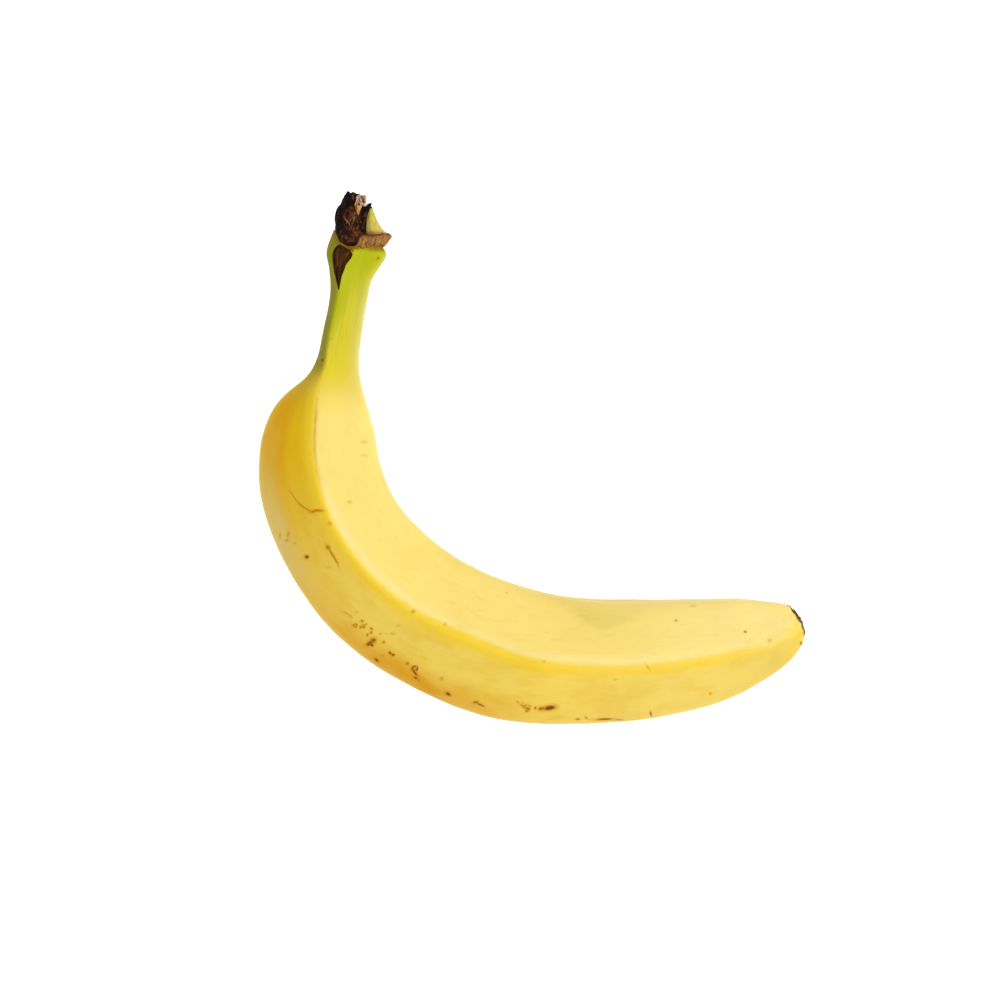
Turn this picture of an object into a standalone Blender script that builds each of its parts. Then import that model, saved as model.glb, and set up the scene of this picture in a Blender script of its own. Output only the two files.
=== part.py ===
"""A ripe banana, torn from its bunch and lying on its side.

Metres, +Z up. The fruit bends in the XY plane: its stem end points along +Y, its
blossom end along +X. It rests on three small flat spots at z = 0, and the origin is
under the middle of its box. One grown piece, so one solid.
"""
import math
import random

import bmesh
import bpy
import numpy as np

MM = 0.001

# Stations of the fruit from the stem to the blossom end, in millimetres. Each is one
# cross-section: the point on the hollow side of the bend, the point on the outer side,
# the thickness, the height of the underside, and the angle of the side ridge, in
# degrees round the section from the hollow side. An underside below zero is pressed
# flat where the fruit rests.
STATIONS = (
    # hollow x, y     outer x, y      thick  under  ridge
    (-41.8, 58.8, -55.5, 63.8, 10.2, 11.2, 116),
    (-41.1, 57.7, -56.6, 61.0, 11.6, 10.6, 116),
    (-41.1, 56.4, -57.5, 58.0, 12.5, 10.2, 116),
    (-42.7, 53.8, -57.3, 55.2, 11.9, 10.3, 117),
    (-44.7, 50.6, -56.8, 52.2, 10.9, 10.8, 118),
    (-45.8, 46.8, -56.5, 48.4, 10.2, 11.0, 118),
    (-46.7, 42.4, -56.8, 44.0, 10.0, 11.0, 120),
    (-47.6, 36.9, -58.0, 38.5, 10.2, 10.7, 120),
    (-48.4, 30.9, -59.2, 32.6, 10.7, 10.2, 119),
    (-48.6, 25.1, -60.6, 27.4, 12.0, 9.2, 116),
    (-48.0, 20.6, -62.6, 23.7, 14.6, 7.6, 114),
    (-47.0, 16.7, -65.2, 21.1, 18.4, 5.4, 112),
    (-45.9, 13.2, -68.5, 18.5, 22.6, 3.0, 107),
    (-45.0, 9.9, -71.6, 15.3, 26.2, 0.9, 102),
    (-44.2, 6.4, -74.2, 10.6, 29.4, -0.7, 99),
    (-43.5, 2.4, -76.1, 3.9, 31.8, -0.7, 97),
    (-42.5, -2.0, -76.5, -6.4, 33.3, 0.1, 95),
    (-40.7, -7.1, -74.1, -17.9, 34.6, 0.7, 95),
    (-37.2, -13.6, -67.8, -31.9, 35.5, 0.8, 95),
    (-31.3, -20.2, -58.3, -45.6, 36.2, 0.3, 95),
    (-24.2, -26.1, -46.3, -56.6, 36.7, -0.7, 94),
    (-15.9, -31.0, -32.8, -64.6, 36.7, -0.7, 94),
    (-6.6, -34.8, -18.9, -70.7, 36.4, 0.0, 95),
    (2.8, -37.4, -3.6, -74.2, 36.0, 0.5, 97),
    (12.9, -38.8, 11.4, -74.7, 34.9, 0.7, 98),
    (24.2, -39.5, 25.2, -74.2, 33.6, 0.6, 99),
    (35.5, -39.9, 39.0, -72.4, 32.0, 0.0, 99),
    (44.6, -39.9, 49.6, -69.9, 30.3, -0.8, 99),
    (52.6, -39.8, 58.4, -66.7, 27.8, -0.6, 101),
    (58.8, -40.0, 64.4, -63.4, 24.6, 1.0, 102),
    (64.2, -40.5, 68.5, -60.8, 21.2, 2.9, 100),
    (67.8, -41.0, 71.3, -58.5, 18.4, 4.8, 97),
    (69.6, -41.3, 73.6, -56.1, 15.7, 6.4, 96),
    (70.4, -41.5, 75.3, -53.6, 13.4, 7.6, 98),
    (70.9, -41.6, 76.2, -51.5, 11.6, 8.6, 101),
    (71.4, -41.8, 76.6, -49.7, 10.0, 9.4, 103),
)

# Cross-section of the fruit: five grown faces and a blunt back
FACE_SPREAD = 33.0          # degrees from a side ridge to the middle of each face beside it
BACK_REACH = 1.20           # how far the blunt back lies, against the faces
CORNER_POWER = 8.0          # higher gives sharper ridges
BEAD_HEIGHT = 0.030         # raised line along each side ridge, as a share of the radius
BEAD_WIDTH = 5.0            # degrees
FACE_HOLLOW = 0.022         # how far the inner faces dip between the ridges, as a share
OUTER_HOLLOW = 0.013        # the same for the outer faces
HOLLOW_WIDTH = 20.0         # degrees
# Slow swelling and thinning of the skin as waves: the length along the fruit in which
# each turns by one radian, its turns round the section, its start and its height
SKIN_WAVES = (
    (11.0, 2.0, 0.0, 0.0050),
    (6.3, -3.0, 1.3, 0.0035),
    (17.0, 1.0, 4.0, 0.0025),
)

# Rings along the fruit: each spacing in millimetres holds from its place onwards
RING_STEPS = ((0.0, 1.5), (45.0, 2.0), (62.0, 3.6), (205.0, 3.0), (218.0, 1.5))
# Points round one half of a ring: to the inner ridge, the side ridge and the outer end
HALF_STEPS = (4, 7, 9)
GATHERING = 0.55            # how far the points are drawn towards the ridges, from 0 to 1

# Dent on the hollow side, where the fruit once lay against its neighbour
DENT_PLACE = (20.0 * MM, -43.0 * MM)
DENT_SIZE = (19.0 * MM, 9.0 * MM)
DENT_DEPTH = 1.3 * MM
DENT_LOWEST = 12.0 * MM

# Sunken leaf-shaped scar on the neck: heights along +Y with its left and right edges
SCAR_EDGES = (
    (46.6, -54.0, -53.8),
    (50.4, -54.9, -53.0),
    (53.6, -55.5, -51.8),
    (56.6, -55.9, -50.0),
    (57.7, -55.5, -50.8),
    (59.2, -53.8, -53.2),
)
SCAR_DEPTH = 0.75 * MM

# Blossom end: how far its top leans out, and the low dome of the dried scar, as shares
# of the last ring's radius with their rise in millimetres
TIP_LEAN = 1.3 * MM
TIP_REACH = 7.0
TIP_PIVOT = 0.35
TIP_WAY = (0.88, 0.47)
DOME = ((0.94, 0.20), (0.84, 0.10), (0.66, 0.45), (0.42, 0.65), (0.30, 0.60), (0.16, 1.00))
DOME_ROUGH = 0.10

# Stem end, torn from the bunch. A level is the height along +Y, the left and right
# edges in x, the half depth in z and how far its middle stands forward, in millimetres.
STEM_MIDDLE = 16.6
RIM_LEVELS = (
    (57.9, -52.0, -43.4, 4.6, 0.4),
    (58.6, -53.4, -41.4, 5.3, 0.4),
    (59.8, -54.0, -40.1, 5.75, 0.3),
    (61.2, -54.0, -39.6, 5.7, 0.2),
    (62.0, -53.6, -40.6, 4.9, 0.0),
)
RIM_SIDES = 34
RIM_GROOVE = 0.022          # upright grooves, as a share of the radius
RIM_LIFT = 1.0              # how far its right end turns up, in millimetres
WEDGE_LEVELS = (
    (60.4, -47.6, -40.6, 4.6, -0.6),
    (62.2, -47.4, -39.8, 4.2, -0.6),
    (63.6, -47.1, -41.4, 3.6, -0.5),
    (65.0, -46.8, -42.5, 3.1, -0.4),
    (67.4, -46.2, -43.7, 2.2, -0.2),
    (69.4, -45.6, -44.4, 1.3, 0.0),
    (70.3, -45.3, -44.8, 0.6, 0.1),
)
WEDGE_SIDES = 14
CORE_LEVELS = (
    (58.8, -51.2, -49.4, 1.2, 5.4),
    (59.3, -52.3, -48.5, 2.3, 4.9),
    (60.2, -53.1, -47.6, 3.2, 4.3),
    (61.6, -53.8, -46.9, 4.1, 3.5),
    (63.4, -54.6, -46.6, 4.9, 2.6),
    (65.4, -54.9, -46.5, 5.3, 1.8),
    (68.6, -54.8, -46.7, 5.1, 1.1),
    (71.2, -53.6, -46.6, 4.5, 0.7),
    (73.2, -52.2, -46.6, 3.6, 0.5),
)
CORE_SIDES = 28
CORE_ROWS = 17
CORE_MOUTH = ((0.72, 0.9), (0.40, 1.9))     # rings inside the top: share and drop
TOOTH_WAVES = ((4.0, 0.4, 0.5), (11.0, 1.0, 0.4))   # torn teeth: turns, start and height
SCOOP_PLACE = (-50.0, 66.6)
SCOOP_SIZE = (2.9, 4.0)
SCOOP_DEPTH = 3.0
ARM_LEVELS = (
    (61.0, -47.3, -46.4, 0.9, 3.4),
    (62.4, -47.8, -46.3, 1.3, 3.1),
    (64.6, -48.0, -46.3, 1.5, 2.7),
    (66.4, -47.8, -46.0, 1.6, 2.2),
    (68.2, -47.4, -45.7, 1.5, 1.7),
    (69.4, -47.0, -45.3, 1.2, 1.2),
    (70.2, -46.3, -45.0, 0.9, 0.9),
    (70.8, -45.7, -45.0, 0.5, 0.8),
)
ARM_SIDES = 10

# Torn strands at the top of the stump and across its scooped face: how many, the first
# and last foot, how far the feet stand forward, how far they rise and their thickness
TOP_STRANDS = 7
TOP_FEET = ((-49.6, 70.0), (-46.9, 70.4))
TOP_FORWARD = (0.6, 2.6)
TOP_RISE = (2.4, 3.2)
TOP_THICK = 1.3
SCOOP_STRANDS = 4
SCOOP_FEET = ((-52.0, 62.6), (-49.0, 62.9))
SCOOP_FORWARD = 3.9
SCOOP_RISE = (4.4, 6.0)
SCOOP_THICK = 1.0
STRAND_SWAY = 0.9
STRAND_TAPER = ((0.0, 1.0), (0.35, 0.95), (0.7, 0.7), (0.9, 0.45), (1.0, 0.15))
STRAND_SIDES = 5
RAGGED_SEED = 31

MERGE_DISTANCE = 0.002 * MM
SMOOTH_LIMIT = 50.0         # degrees, above which an edge stays sharp
PEEL_YELLOW = (0.90, 0.68, 0.08, 1.0)
PEEL_ROUGHNESS = 0.45


def clear_scene():
    """Remove the objects that a new scene comes with."""
    for obj in list(bpy.data.objects):
        bpy.data.objects.remove(obj, do_unlink=True)


def new_collection(name):
    """Return a new collection, linked to the scene."""
    collection = bpy.data.collections.new(name)
    bpy.context.scene.collection.children.link(collection)
    return collection


def peel_material():
    """Return the skin's material."""
    material = bpy.data.materials.new("banana_peel")
    material.use_nodes = True
    shader = material.node_tree.nodes["Principled BSDF"]
    shader.inputs["Base Color"].default_value = PEEL_YELLOW
    shader.inputs["Roughness"].default_value = PEEL_ROUGHNESS
    shader.inputs["Metallic"].default_value = 0.0
    material.diffuse_color = PEEL_YELLOW
    return material


# Smooth curves through the stations
def spline_bends(places, values):
    """Return the second derivatives of the natural cubic spline through the values."""
    count = len(places)
    gaps = np.diff(places)[:, None]
    matrix = np.eye(count)
    right = np.zeros_like(values)
    for row in range(1, count - 1):
        matrix[row, row - 1] = gaps[row - 1, 0]
        matrix[row, row] = 2.0 * (gaps[row - 1, 0] + gaps[row, 0])
        matrix[row, row + 1] = gaps[row, 0]
    steps = np.diff(values, axis=0) / gaps
    right[1:-1] = 6.0 * np.diff(steps, axis=0)
    return np.linalg.solve(matrix, right)


def spline(places, values, at):
    """Read the natural cubic spline through the values at the given places."""
    bend = spline_bends(places, values)
    left = np.clip(np.searchsorted(places, at, side="right") - 1, 0, len(places) - 2)
    gap = (places[left + 1] - places[left])[:, None]
    ahead = (places[left + 1] - at)[:, None] / gap
    behind = 1.0 - ahead
    curve = (ahead ** 3 - ahead) * bend[left] + (behind ** 3 - behind) * bend[left + 1]
    return ahead * values[left] + behind * values[left + 1] + curve * gap ** 2 / 6.0


def station_places():
    """Return how far along the fruit each station lies, in millimetres."""
    table = np.array(STATIONS, dtype=float)
    middles = (table[:, 0:2] + table[:, 2:4]) / 2.0
    return np.concatenate(([0.0], np.cumsum(np.hypot(*np.diff(middles, axis=0).T))))


def ring_places(length):
    """Return the rings' places along the fruit, closer where the form turns quickly."""
    places = []
    place = 0.0
    while place < length - 0.5:
        places.append(place)
        place += [step for start, step in RING_STEPS if place >= start][-1]
    places.append(length)
    return np.array(places)


# Cross-section
def half_angles(ridge):
    """Return a half section's angles, gathered towards its ridges."""
    inner_ridge = (ridge - FACE_SPREAD) / 2.0
    corners = (0.0, inner_ridge, ridge, 180.0)
    angles = []
    for start, end, count in zip(corners, corners[1:], HALF_STEPS):
        for step in range(count):
            share = step / count
            eased = (1.0 - math.cos(math.pi * share)) / 2.0
            angles.append(start + (end - start) * (share + GATHERING * (eased - share)))
    return angles


def section_angles(ridge):
    """Return the angles round a whole section, in radians."""
    half = half_angles(ridge)
    other = [360.0 - angle for angle in half[1:]]
    return np.radians(np.array(half + [180.0] + other[::-1]))


def turn_from(angles, ridge):
    """Return how far each angle lies outside the ridge on its side, in degrees."""
    folded = np.degrees(np.abs((angles + math.pi) % (2.0 * math.pi) - math.pi))
    return folded - ridge


def bell(value, middle, width):
    """Return a bell curve of height 1 round the middle."""
    return np.exp(-((value - middle) / width) ** 2)


def section_radius(angles, ridge):
    """Return the section's radius: flat faces blended into rounded ridges."""
    faces = (
        (0.0, 1.0),
        (ridge - FACE_SPREAD, 1.0),
        (FACE_SPREAD - ridge, 1.0),
        (ridge + FACE_SPREAD, 1.0),
        (-ridge - FACE_SPREAD, 1.0),
        (180.0, BACK_REACH),
    )
    total = np.zeros_like(angles)
    for direction, reach in faces:
        facing = np.maximum(np.cos(angles - math.radians(direction)), 0.0)
        total += (facing / reach) ** CORNER_POWER
    radius = total ** (-1.0 / CORNER_POWER)
    away = turn_from(angles, ridge)
    bead = BEAD_HEIGHT * bell(away, 0.0, BEAD_WIDTH)
    hollow = FACE_HOLLOW * bell(away, -FACE_SPREAD, HOLLOW_WIDTH)
    hollow += OUTER_HOLLOW * bell(away, FACE_SPREAD, HOLLOW_WIDTH)
    return radius * (1.0 + bead - hollow)


def unevenness(place, angles):
    """Return the slow swelling and thinning of the skin as a factor."""
    swell = 1.0
    for length, turns, start, height in SKIN_WAVES:
        swell += height * np.sin(place / length + turns * angles + start)
    return swell


def section_ring(place, row):
    """Return one ring of the skin, as points in metres."""
    hollow, outer = row[0:2], row[2:4]
    thick, underside, ridge = row[4:7]
    angles = section_angles(ridge)
    radius = section_radius(angles, ridge) * unevenness(place, angles)
    across = radius * np.cos(angles)
    upward = radius * np.sin(angles)
    across = (across - across.min()) / (across.max() - across.min())
    upward = (upward - upward.min()) / (upward.max() - upward.min())
    flat = outer + (hollow - outer) * across[:, None]
    height = underside + thick * upward
    return np.column_stack((flat, height)) * MM


# Marks pressed into the skin
def dent_depth(points):
    """Return how deep the shallow dent of the hollow side presses each point in."""
    offset = (points[:, 0:2] - DENT_PLACE) / DENT_SIZE
    return DENT_DEPTH * np.exp(-np.sum(offset ** 2, axis=1)) * (points[:, 2] > DENT_LOWEST)


def scar_depth(points):
    """Return how deep the leaf-shaped scar presses each point of the neck in."""
    edges = np.array(SCAR_EDGES)
    x, y = points[:, 0] / MM, points[:, 1] / MM
    left = np.interp(y, edges[:, 0], edges[:, 1])
    right = np.interp(y, edges[:, 0], edges[:, 2])
    inside = np.minimum(x - left, right - x)
    inside = np.minimum(inside, np.minimum(y - edges[0, 0], edges[-1, 0] - y))
    return SCAR_DEPTH * np.clip(inside, 0.0, 1.0) * (points[:, 2] > STEM_MIDDLE * MM)


def press_in(ring):
    """Return a ring with the dent and the scar pressed towards its middle."""
    inward = ring.mean(axis=0) - ring
    inward /= np.linalg.norm(inward, axis=1)[:, None]
    return ring + inward * (dent_depth(ring) + scar_depth(ring))[:, None]


def lean_tip(ring, row, left_over):
    """Return a ring near the blossom end, its upper part leaning outwards."""
    thick, underside = row[4], row[5]
    height = (ring[:, 2] / MM - underside) / thick - TIP_PIVOT
    share = max(0.0, 1.0 - left_over / TIP_REACH)
    ease = share ** 2 * (3.0 - 2.0 * share)
    ring[:, 0:2] += TIP_LEAN * ease * height[:, None] * TIP_WAY
    return ring


def fruit_rings():
    """Return every ring of the skin from the stem to the blossom scar."""
    places = station_places()
    length = places[-1]
    at = ring_places(length)
    rows = spline(places, np.array(STATIONS, dtype=float), at)
    rings = []
    for place, row in zip(at, rows):
        ring = press_in(section_ring(place, row))
        ring = lean_tip(ring, row, length - place)
        ring[:, 2] = np.maximum(ring[:, 2], 0.0)
        rings.append(ring)
    return rings


def blossom_scar_rings(rim):
    """Return the rings of the low rough dome that closes the blossom end."""
    middle = rim.mean(axis=0)
    across = rim[0] - rim[len(rim) // 2]
    outward = np.array((-across[1], across[0], 0.0))
    outward /= np.linalg.norm(outward)
    if outward[0] < 0.0:
        outward = -outward
    turns = np.linspace(0.0, 2.0 * math.pi, len(rim), endpoint=False)
    rings = []
    for share, rise in DOME:
        rough = DOME_ROUGH * (np.sin(5.0 * turns + 9.0 * share) + 0.7 * np.sin(11.0 * turns))
        height = (rise + rough * share) * MM
        rings.append(middle + (rim - middle) * share + outward * height[:, None])
    return rings


# Lofting
def loft(name, rings):
    """Return a closed mesh object through the rings, each with as many points."""
    count = len(rings[0])
    vertices = [tuple(point) for ring in rings for point in ring]
    faces = []
    for index in range(len(rings) - 1):
        low, high = index * count, (index + 1) * count
        for step in range(count):
            following = (step + 1) % count
            faces.append((low + step, low + following, high + following, high + step))
    for ring_index in (0, len(rings) - 1):
        hub = len(vertices)
        vertices.append(tuple(np.mean(rings[ring_index], axis=0)))
        base = ring_index * count
        faces += [(hub, base + step, base + (step + 1) % count) for step in range(count)]
    mesh = bpy.data.meshes.new(name)
    mesh.from_pydata(vertices, [], faces)
    solid = bmesh.new()
    solid.from_mesh(mesh)
    bmesh.ops.recalc_face_normals(solid, faces=solid.faces)
    bmesh.ops.triangulate(solid, faces=[face for face in solid.faces if len(face.verts) > 3])
    solid.to_mesh(mesh)
    solid.free()
    return bpy.data.objects.new(name, mesh)


# Stem end
def ring_angles(sides):
    """Return evenly spread angles round a ring."""
    return np.linspace(0.0, 2.0 * math.pi, sides, endpoint=False)


def torn_ring(row, angles, grow):
    """Return one level ring, in millimetres, its radius swelled by grow."""
    up, left, right, deep, forward = row
    x = (left + right) / 2.0 + (right - left) / 2.0 * np.cos(angles) * grow
    z = STEM_MIDDLE + forward + deep * np.sin(angles) * grow
    return np.column_stack((x, np.full_like(angles, up), z))


def fibre_swell(angles, share, size):
    """Return the swelling of upright fibres that wander a little as they rise."""
    drift = 0.5 * math.sin(5.0 * share + 1.0)
    coarse = np.sin(5.0 * angles + drift + 0.7) + 0.8 * np.sin(9.0 * angles - drift)
    fine = np.sin(14.0 * angles + 3.0 * share + 2.0)
    return 1.0 + size * (0.5 * coarse + 0.4 * fine)


def level_piece(name, levels, sides, roughness):
    """Return a fluted piece through its levels, one ring a level."""
    angles = ring_angles(sides)
    last = len(levels) - 1
    swells = [fibre_swell(angles, index / last, roughness) for index in range(last + 1)]
    rings = [torn_ring(row, angles, swell) * MM for row, swell in zip(levels, swells)]
    return loft(name, rings)


def crown_rim():
    """Return the brown woody rim where the crown was cut, with upright grooves."""
    angles = ring_angles(RIM_SIDES)
    grooves = 1.0 + RIM_GROOVE * np.where(np.arange(RIM_SIDES) % 2 == 0, 1.0, -1.0)
    last = len(RIM_LEVELS) - 1
    rings = []
    for index, row in enumerate(RIM_LEVELS):
        ring = torn_ring(row, angles, grooves * fibre_swell(angles, index / last, 0.03))
        lift = np.clip((ring[:, 0] + 47.0) / 7.0, 0.0, 1.0)
        ring[:, 1] += RIM_LIFT * lift ** 2 + 0.12 * np.sin(7.0 * angles + index)
        rings.append(ring * MM)
    return loft("crown_rim", rings)


def scoop_depth(ring, angles):
    """Return how deep the torn face towards +Z is scooped, by a flat-bottomed bell."""
    offset = (ring[:, 0:2] - SCOOP_PLACE) / SCOOP_SIZE
    bowl = np.exp(-np.sum(offset ** 2, axis=1) ** 2)
    return SCOOP_DEPTH * bowl * np.clip(np.sin(angles) * 2.0, 0.0, 1.0)


def torn_core():
    """Return the dark torn stump: fluted walls, a toothed top and a scooped face."""
    angles = ring_angles(CORE_SIDES)
    teeth = sum(high * np.sin(turns * angles + start) for turns, start, high in TOOTH_WAVES)
    table = np.array(CORE_LEVELS)
    heights = np.linspace(table[0, 0], table[-1, 0], CORE_ROWS)
    rings = []
    for index, row in enumerate(spline(table[:, 0], table, heights)):
        share = index / (CORE_ROWS - 1)
        ring = torn_ring(row, angles, fibre_swell(angles, share, 0.05))
        ring[:, 1] += teeth * share ** 3
        ring[:, 2] -= scoop_depth(ring, angles)
        rings.append(ring)
    top = rings[-1]
    middle = top.mean(axis=0)
    for share, drop in CORE_MOUTH:
        ring = middle + (top - middle) * share
        ring[:, 1] -= drop
        rings.append(ring)
    return loft("torn_core", [ring * MM for ring in rings])


def torn_strand(name, foot, waist, tip, thick):
    """Return one tapering torn strand along three points, in millimetres."""
    axis = (tip - foot) / np.linalg.norm(tip - foot)
    side = np.cross(axis, (0.2, 0.1, 1.0))
    side /= np.linalg.norm(side)
    other = np.cross(axis, side)
    corners = ring_angles(STRAND_SIDES)
    outline = np.outer(np.cos(corners), side) + 0.7 * np.outer(np.sin(corners), other)
    rings = []
    for share, width in STRAND_TAPER:
        bend = 2.0 * share * (1.0 - share)
        middle = (1.0 - share) ** 2 * foot + bend * waist + share ** 2 * tip
        rings.append((middle + thick / 2.0 * width * outline) * MM)
    return loft(name, rings)


def strand_row(name, count, feet, forward, rise, thick, draw):
    """Return a row of strands whose feet run from the first foot to the last."""
    first, last = np.array(feet)
    strands = []
    for index in range(count):
        place = first + (last - first) * index / (count - 1)
        foot = np.array((*place, STEM_MIDDLE + draw.uniform(*forward)))
        sway = draw.uniform(-STRAND_SWAY, STRAND_SWAY)
        tip = foot + (sway, draw.uniform(*rise), 0.3)
        waist = (foot + tip) / 2.0 + (-sway / 2.0, 0.0, 0.6)
        strands.append(torn_strand(f"{name}_{index}", foot, waist, tip, thick))
    return strands


def torn_strands():
    """Return the ragged strands at the top of the stump and across its scooped face."""
    draw = random.Random(RAGGED_SEED)
    top = strand_row(
        "top_strand", TOP_STRANDS, TOP_FEET, TOP_FORWARD, TOP_RISE, TOP_THICK, draw
    )
    level = (SCOOP_FORWARD, SCOOP_FORWARD)
    scoop = strand_row(
        "scoop_strand", SCOOP_STRANDS, SCOOP_FEET, level, SCOOP_RISE, SCOOP_THICK, draw
    )
    return top + scoop


# One body
def fuse(body, pieces):
    """Join the pieces to the body with one union and remove them."""
    grown = new_collection("stem_end")
    for piece in pieces:
        grown.objects.link(piece)
    union = body.modifiers.new("stem_end", "BOOLEAN")
    union.operation = "UNION"
    union.operand_type = "COLLECTION"
    union.collection = grown
    union.solver = "EXACT"
    depsgraph = bpy.context.evaluated_depsgraph_get()
    joined = bpy.data.meshes.new_from_object(body.evaluated_get(depsgraph))
    body.modifiers.remove(union)
    body.data = joined
    for piece in pieces:
        bpy.data.objects.remove(piece, do_unlink=True)
    bpy.data.collections.remove(grown)


def connected_bodies(solid):
    """Return the sets of points of a bmesh that hang together."""
    unseen = set(solid.verts)
    bodies = []
    while unseen:
        body = {unseen.pop()}
        edge_of_search = list(body)
        while edge_of_search:
            vertex = edge_of_search.pop()
            for edge in vertex.link_edges:
                other = edge.other_vert(vertex)
                if other in unseen:
                    unseen.remove(other)
                    body.add(other)
                    edge_of_search.append(other)
        bodies.append(body)
    return bodies


def tidy_mesh(mesh):
    """Merge points that coincide, drop slivers and loose scraps, and split to triangles."""
    solid = bmesh.new()
    solid.from_mesh(mesh)
    bmesh.ops.remove_doubles(solid, verts=solid.verts, dist=MERGE_DISTANCE)
    bmesh.ops.triangulate(solid, faces=[face for face in solid.faces if len(face.verts) > 3])
    bodies = sorted(connected_bodies(solid), key=len)
    for scrap in bodies[:-1]:
        bmesh.ops.delete(solid, geom=list(scrap), context="VERTS")
    bmesh.ops.recalc_face_normals(solid, faces=solid.faces)
    solid.to_mesh(mesh)
    solid.free()


def main():
    """Build the banana."""
    clear_scene()
    fruit = new_collection("banana")
    rings = fruit_rings()
    banana = loft("banana", rings + blossom_scar_rings(rings[-1]))
    fruit.objects.link(banana)
    wedge = level_piece("crown_wedge", WEDGE_LEVELS, WEDGE_SIDES, 0.05)
    arm = level_piece("torn_arm", ARM_LEVELS, ARM_SIDES, 0.04)
    fuse(banana, [crown_rim(), wedge, torn_core(), arm] + torn_strands())
    tidy_mesh(banana.data)
    banana.data.materials.clear()
    banana.data.materials.append(peel_material())
    banana.data.shade_smooth()
    banana.data.set_sharp_from_angle(angle=math.radians(SMOOTH_LIMIT))


main()
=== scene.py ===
"""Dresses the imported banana: fine skin, torn stem end, blossom scar, marks, light and camera.

The fruit lies on its side on a pale floor and the camera looks straight down on it.
Lengths are millimetres inside the classes and become metres when a mesh is made.
"""

import logging
import math
from collections.abc import Mapping, Sequence
from dataclasses import dataclass
from enum import Enum
from typing import Union

import bpy
import numpy as np
from numpy.typing import NDArray
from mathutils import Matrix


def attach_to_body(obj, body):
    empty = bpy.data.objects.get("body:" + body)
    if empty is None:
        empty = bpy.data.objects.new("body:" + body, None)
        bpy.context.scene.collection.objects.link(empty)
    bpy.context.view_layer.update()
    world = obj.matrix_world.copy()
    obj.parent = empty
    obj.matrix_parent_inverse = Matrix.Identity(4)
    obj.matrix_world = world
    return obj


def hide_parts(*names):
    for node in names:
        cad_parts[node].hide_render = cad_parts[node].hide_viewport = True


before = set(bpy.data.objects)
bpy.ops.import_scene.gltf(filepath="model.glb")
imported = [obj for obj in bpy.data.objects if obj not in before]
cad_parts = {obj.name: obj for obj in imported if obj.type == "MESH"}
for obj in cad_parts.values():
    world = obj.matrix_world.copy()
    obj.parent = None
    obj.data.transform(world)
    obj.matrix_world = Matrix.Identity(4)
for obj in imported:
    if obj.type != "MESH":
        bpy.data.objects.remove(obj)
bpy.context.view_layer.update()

LOG = logging.getLogger("banana")
MM = 0.001
BODY = "root"
NODE = "banana"
Array = NDArray[np.float64]
Pair = tuple[float, float]
Triple = tuple[float, float, float]
Colour = Triple
Piece = bpy.types.Object


# Small helpers on arrays
def smoothstep(low: float | Array, high: float | Array, value: Array) -> Array:
    """Return an S-curve over the value: 0 at low and before it, 1 at high and past it."""
    share = np.clip((value - low) / (high - low), 0.0, 1.0)
    return share * share * (3.0 - 2.0 * share)


def bell(value: Array, middle: float, width: float | Array) -> Array:
    """Return a bell curve of height 1 round the middle."""
    return np.exp(-(((value - middle) / width) ** 2))


def blended(ends: Pair, share: Array) -> Array:
    """Return the first end where the share is 0, the second where it is 1."""
    return ends[0] + (ends[1] - ends[0]) * share


# Whole numbers that stir the lattice's coordinates, and the bits kept of the result
LATTICE_PRIMES = (73856093, 19349663, 83492791)
SEED_PRIME = 2654435761
STIR_PRIME = 1274126177
STIR_SHIFTS = (13, 16)
KEPT_BITS = 65535


def lattice_noise(points: Array, seed: int) -> Array:
    """Return smooth noise from -1 to 1: random values on a unit lattice, blended.

    Each corner's value comes from a mix of its whole-number coordinates, and the eight
    corners round a point are blended with an S-curve in each direction.

    Args:
        points: Points with three coordinates in the last axis.
        seed: Picks the pattern.

    Returns:
        One value for each point.
    """
    cell = np.floor(points).astype(np.int64)
    inside = points - cell
    ease = inside * inside * (3.0 - 2.0 * inside)
    total = np.zeros(points.shape[:-1])
    for corner in range(8):
        step = np.array([corner & 1, corner >> 1 & 1, corner >> 2 & 1])
        spot = (cell + step).astype(np.uint64) * np.array(LATTICE_PRIMES, dtype=np.uint64)
        mixed = spot[..., 0] ^ spot[..., 1] ^ spot[..., 2] ^ np.uint64(seed * SEED_PRIME)
        mixed = (mixed ^ (mixed >> np.uint64(STIR_SHIFTS[0]))) * np.uint64(STIR_PRIME)
        mixed = mixed ^ (mixed >> np.uint64(STIR_SHIFTS[1]))
        value = (mixed & np.uint64(KEPT_BITS)).astype(float) / (KEPT_BITS / 2.0) - 1.0
        total += value * np.prod(np.where(step == 1, ease, 1.0 - ease), axis=-1)
    return total


def layered_noise(points: Array, seed: int, layers: int = 3) -> Array:
    """Return noise of several sizes, each half as wide and half as high as the last."""
    return sum(lattice_noise(points * 2.0**k, seed + k) / 2.0**k for k in range(layers))


@dataclass(frozen=True)
class Rough:
    """Noise on a shape: how high it stands, how fine it is, its seed and its layers."""

    size: float
    fineness: float | Triple
    seed: int
    layers: int = 1

    def on(self, points: Array) -> Array:
        """Return the noise's height at the points."""
        return self.size * layered_noise(points * np.array(self.fineness), self.seed, self.layers)


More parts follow.
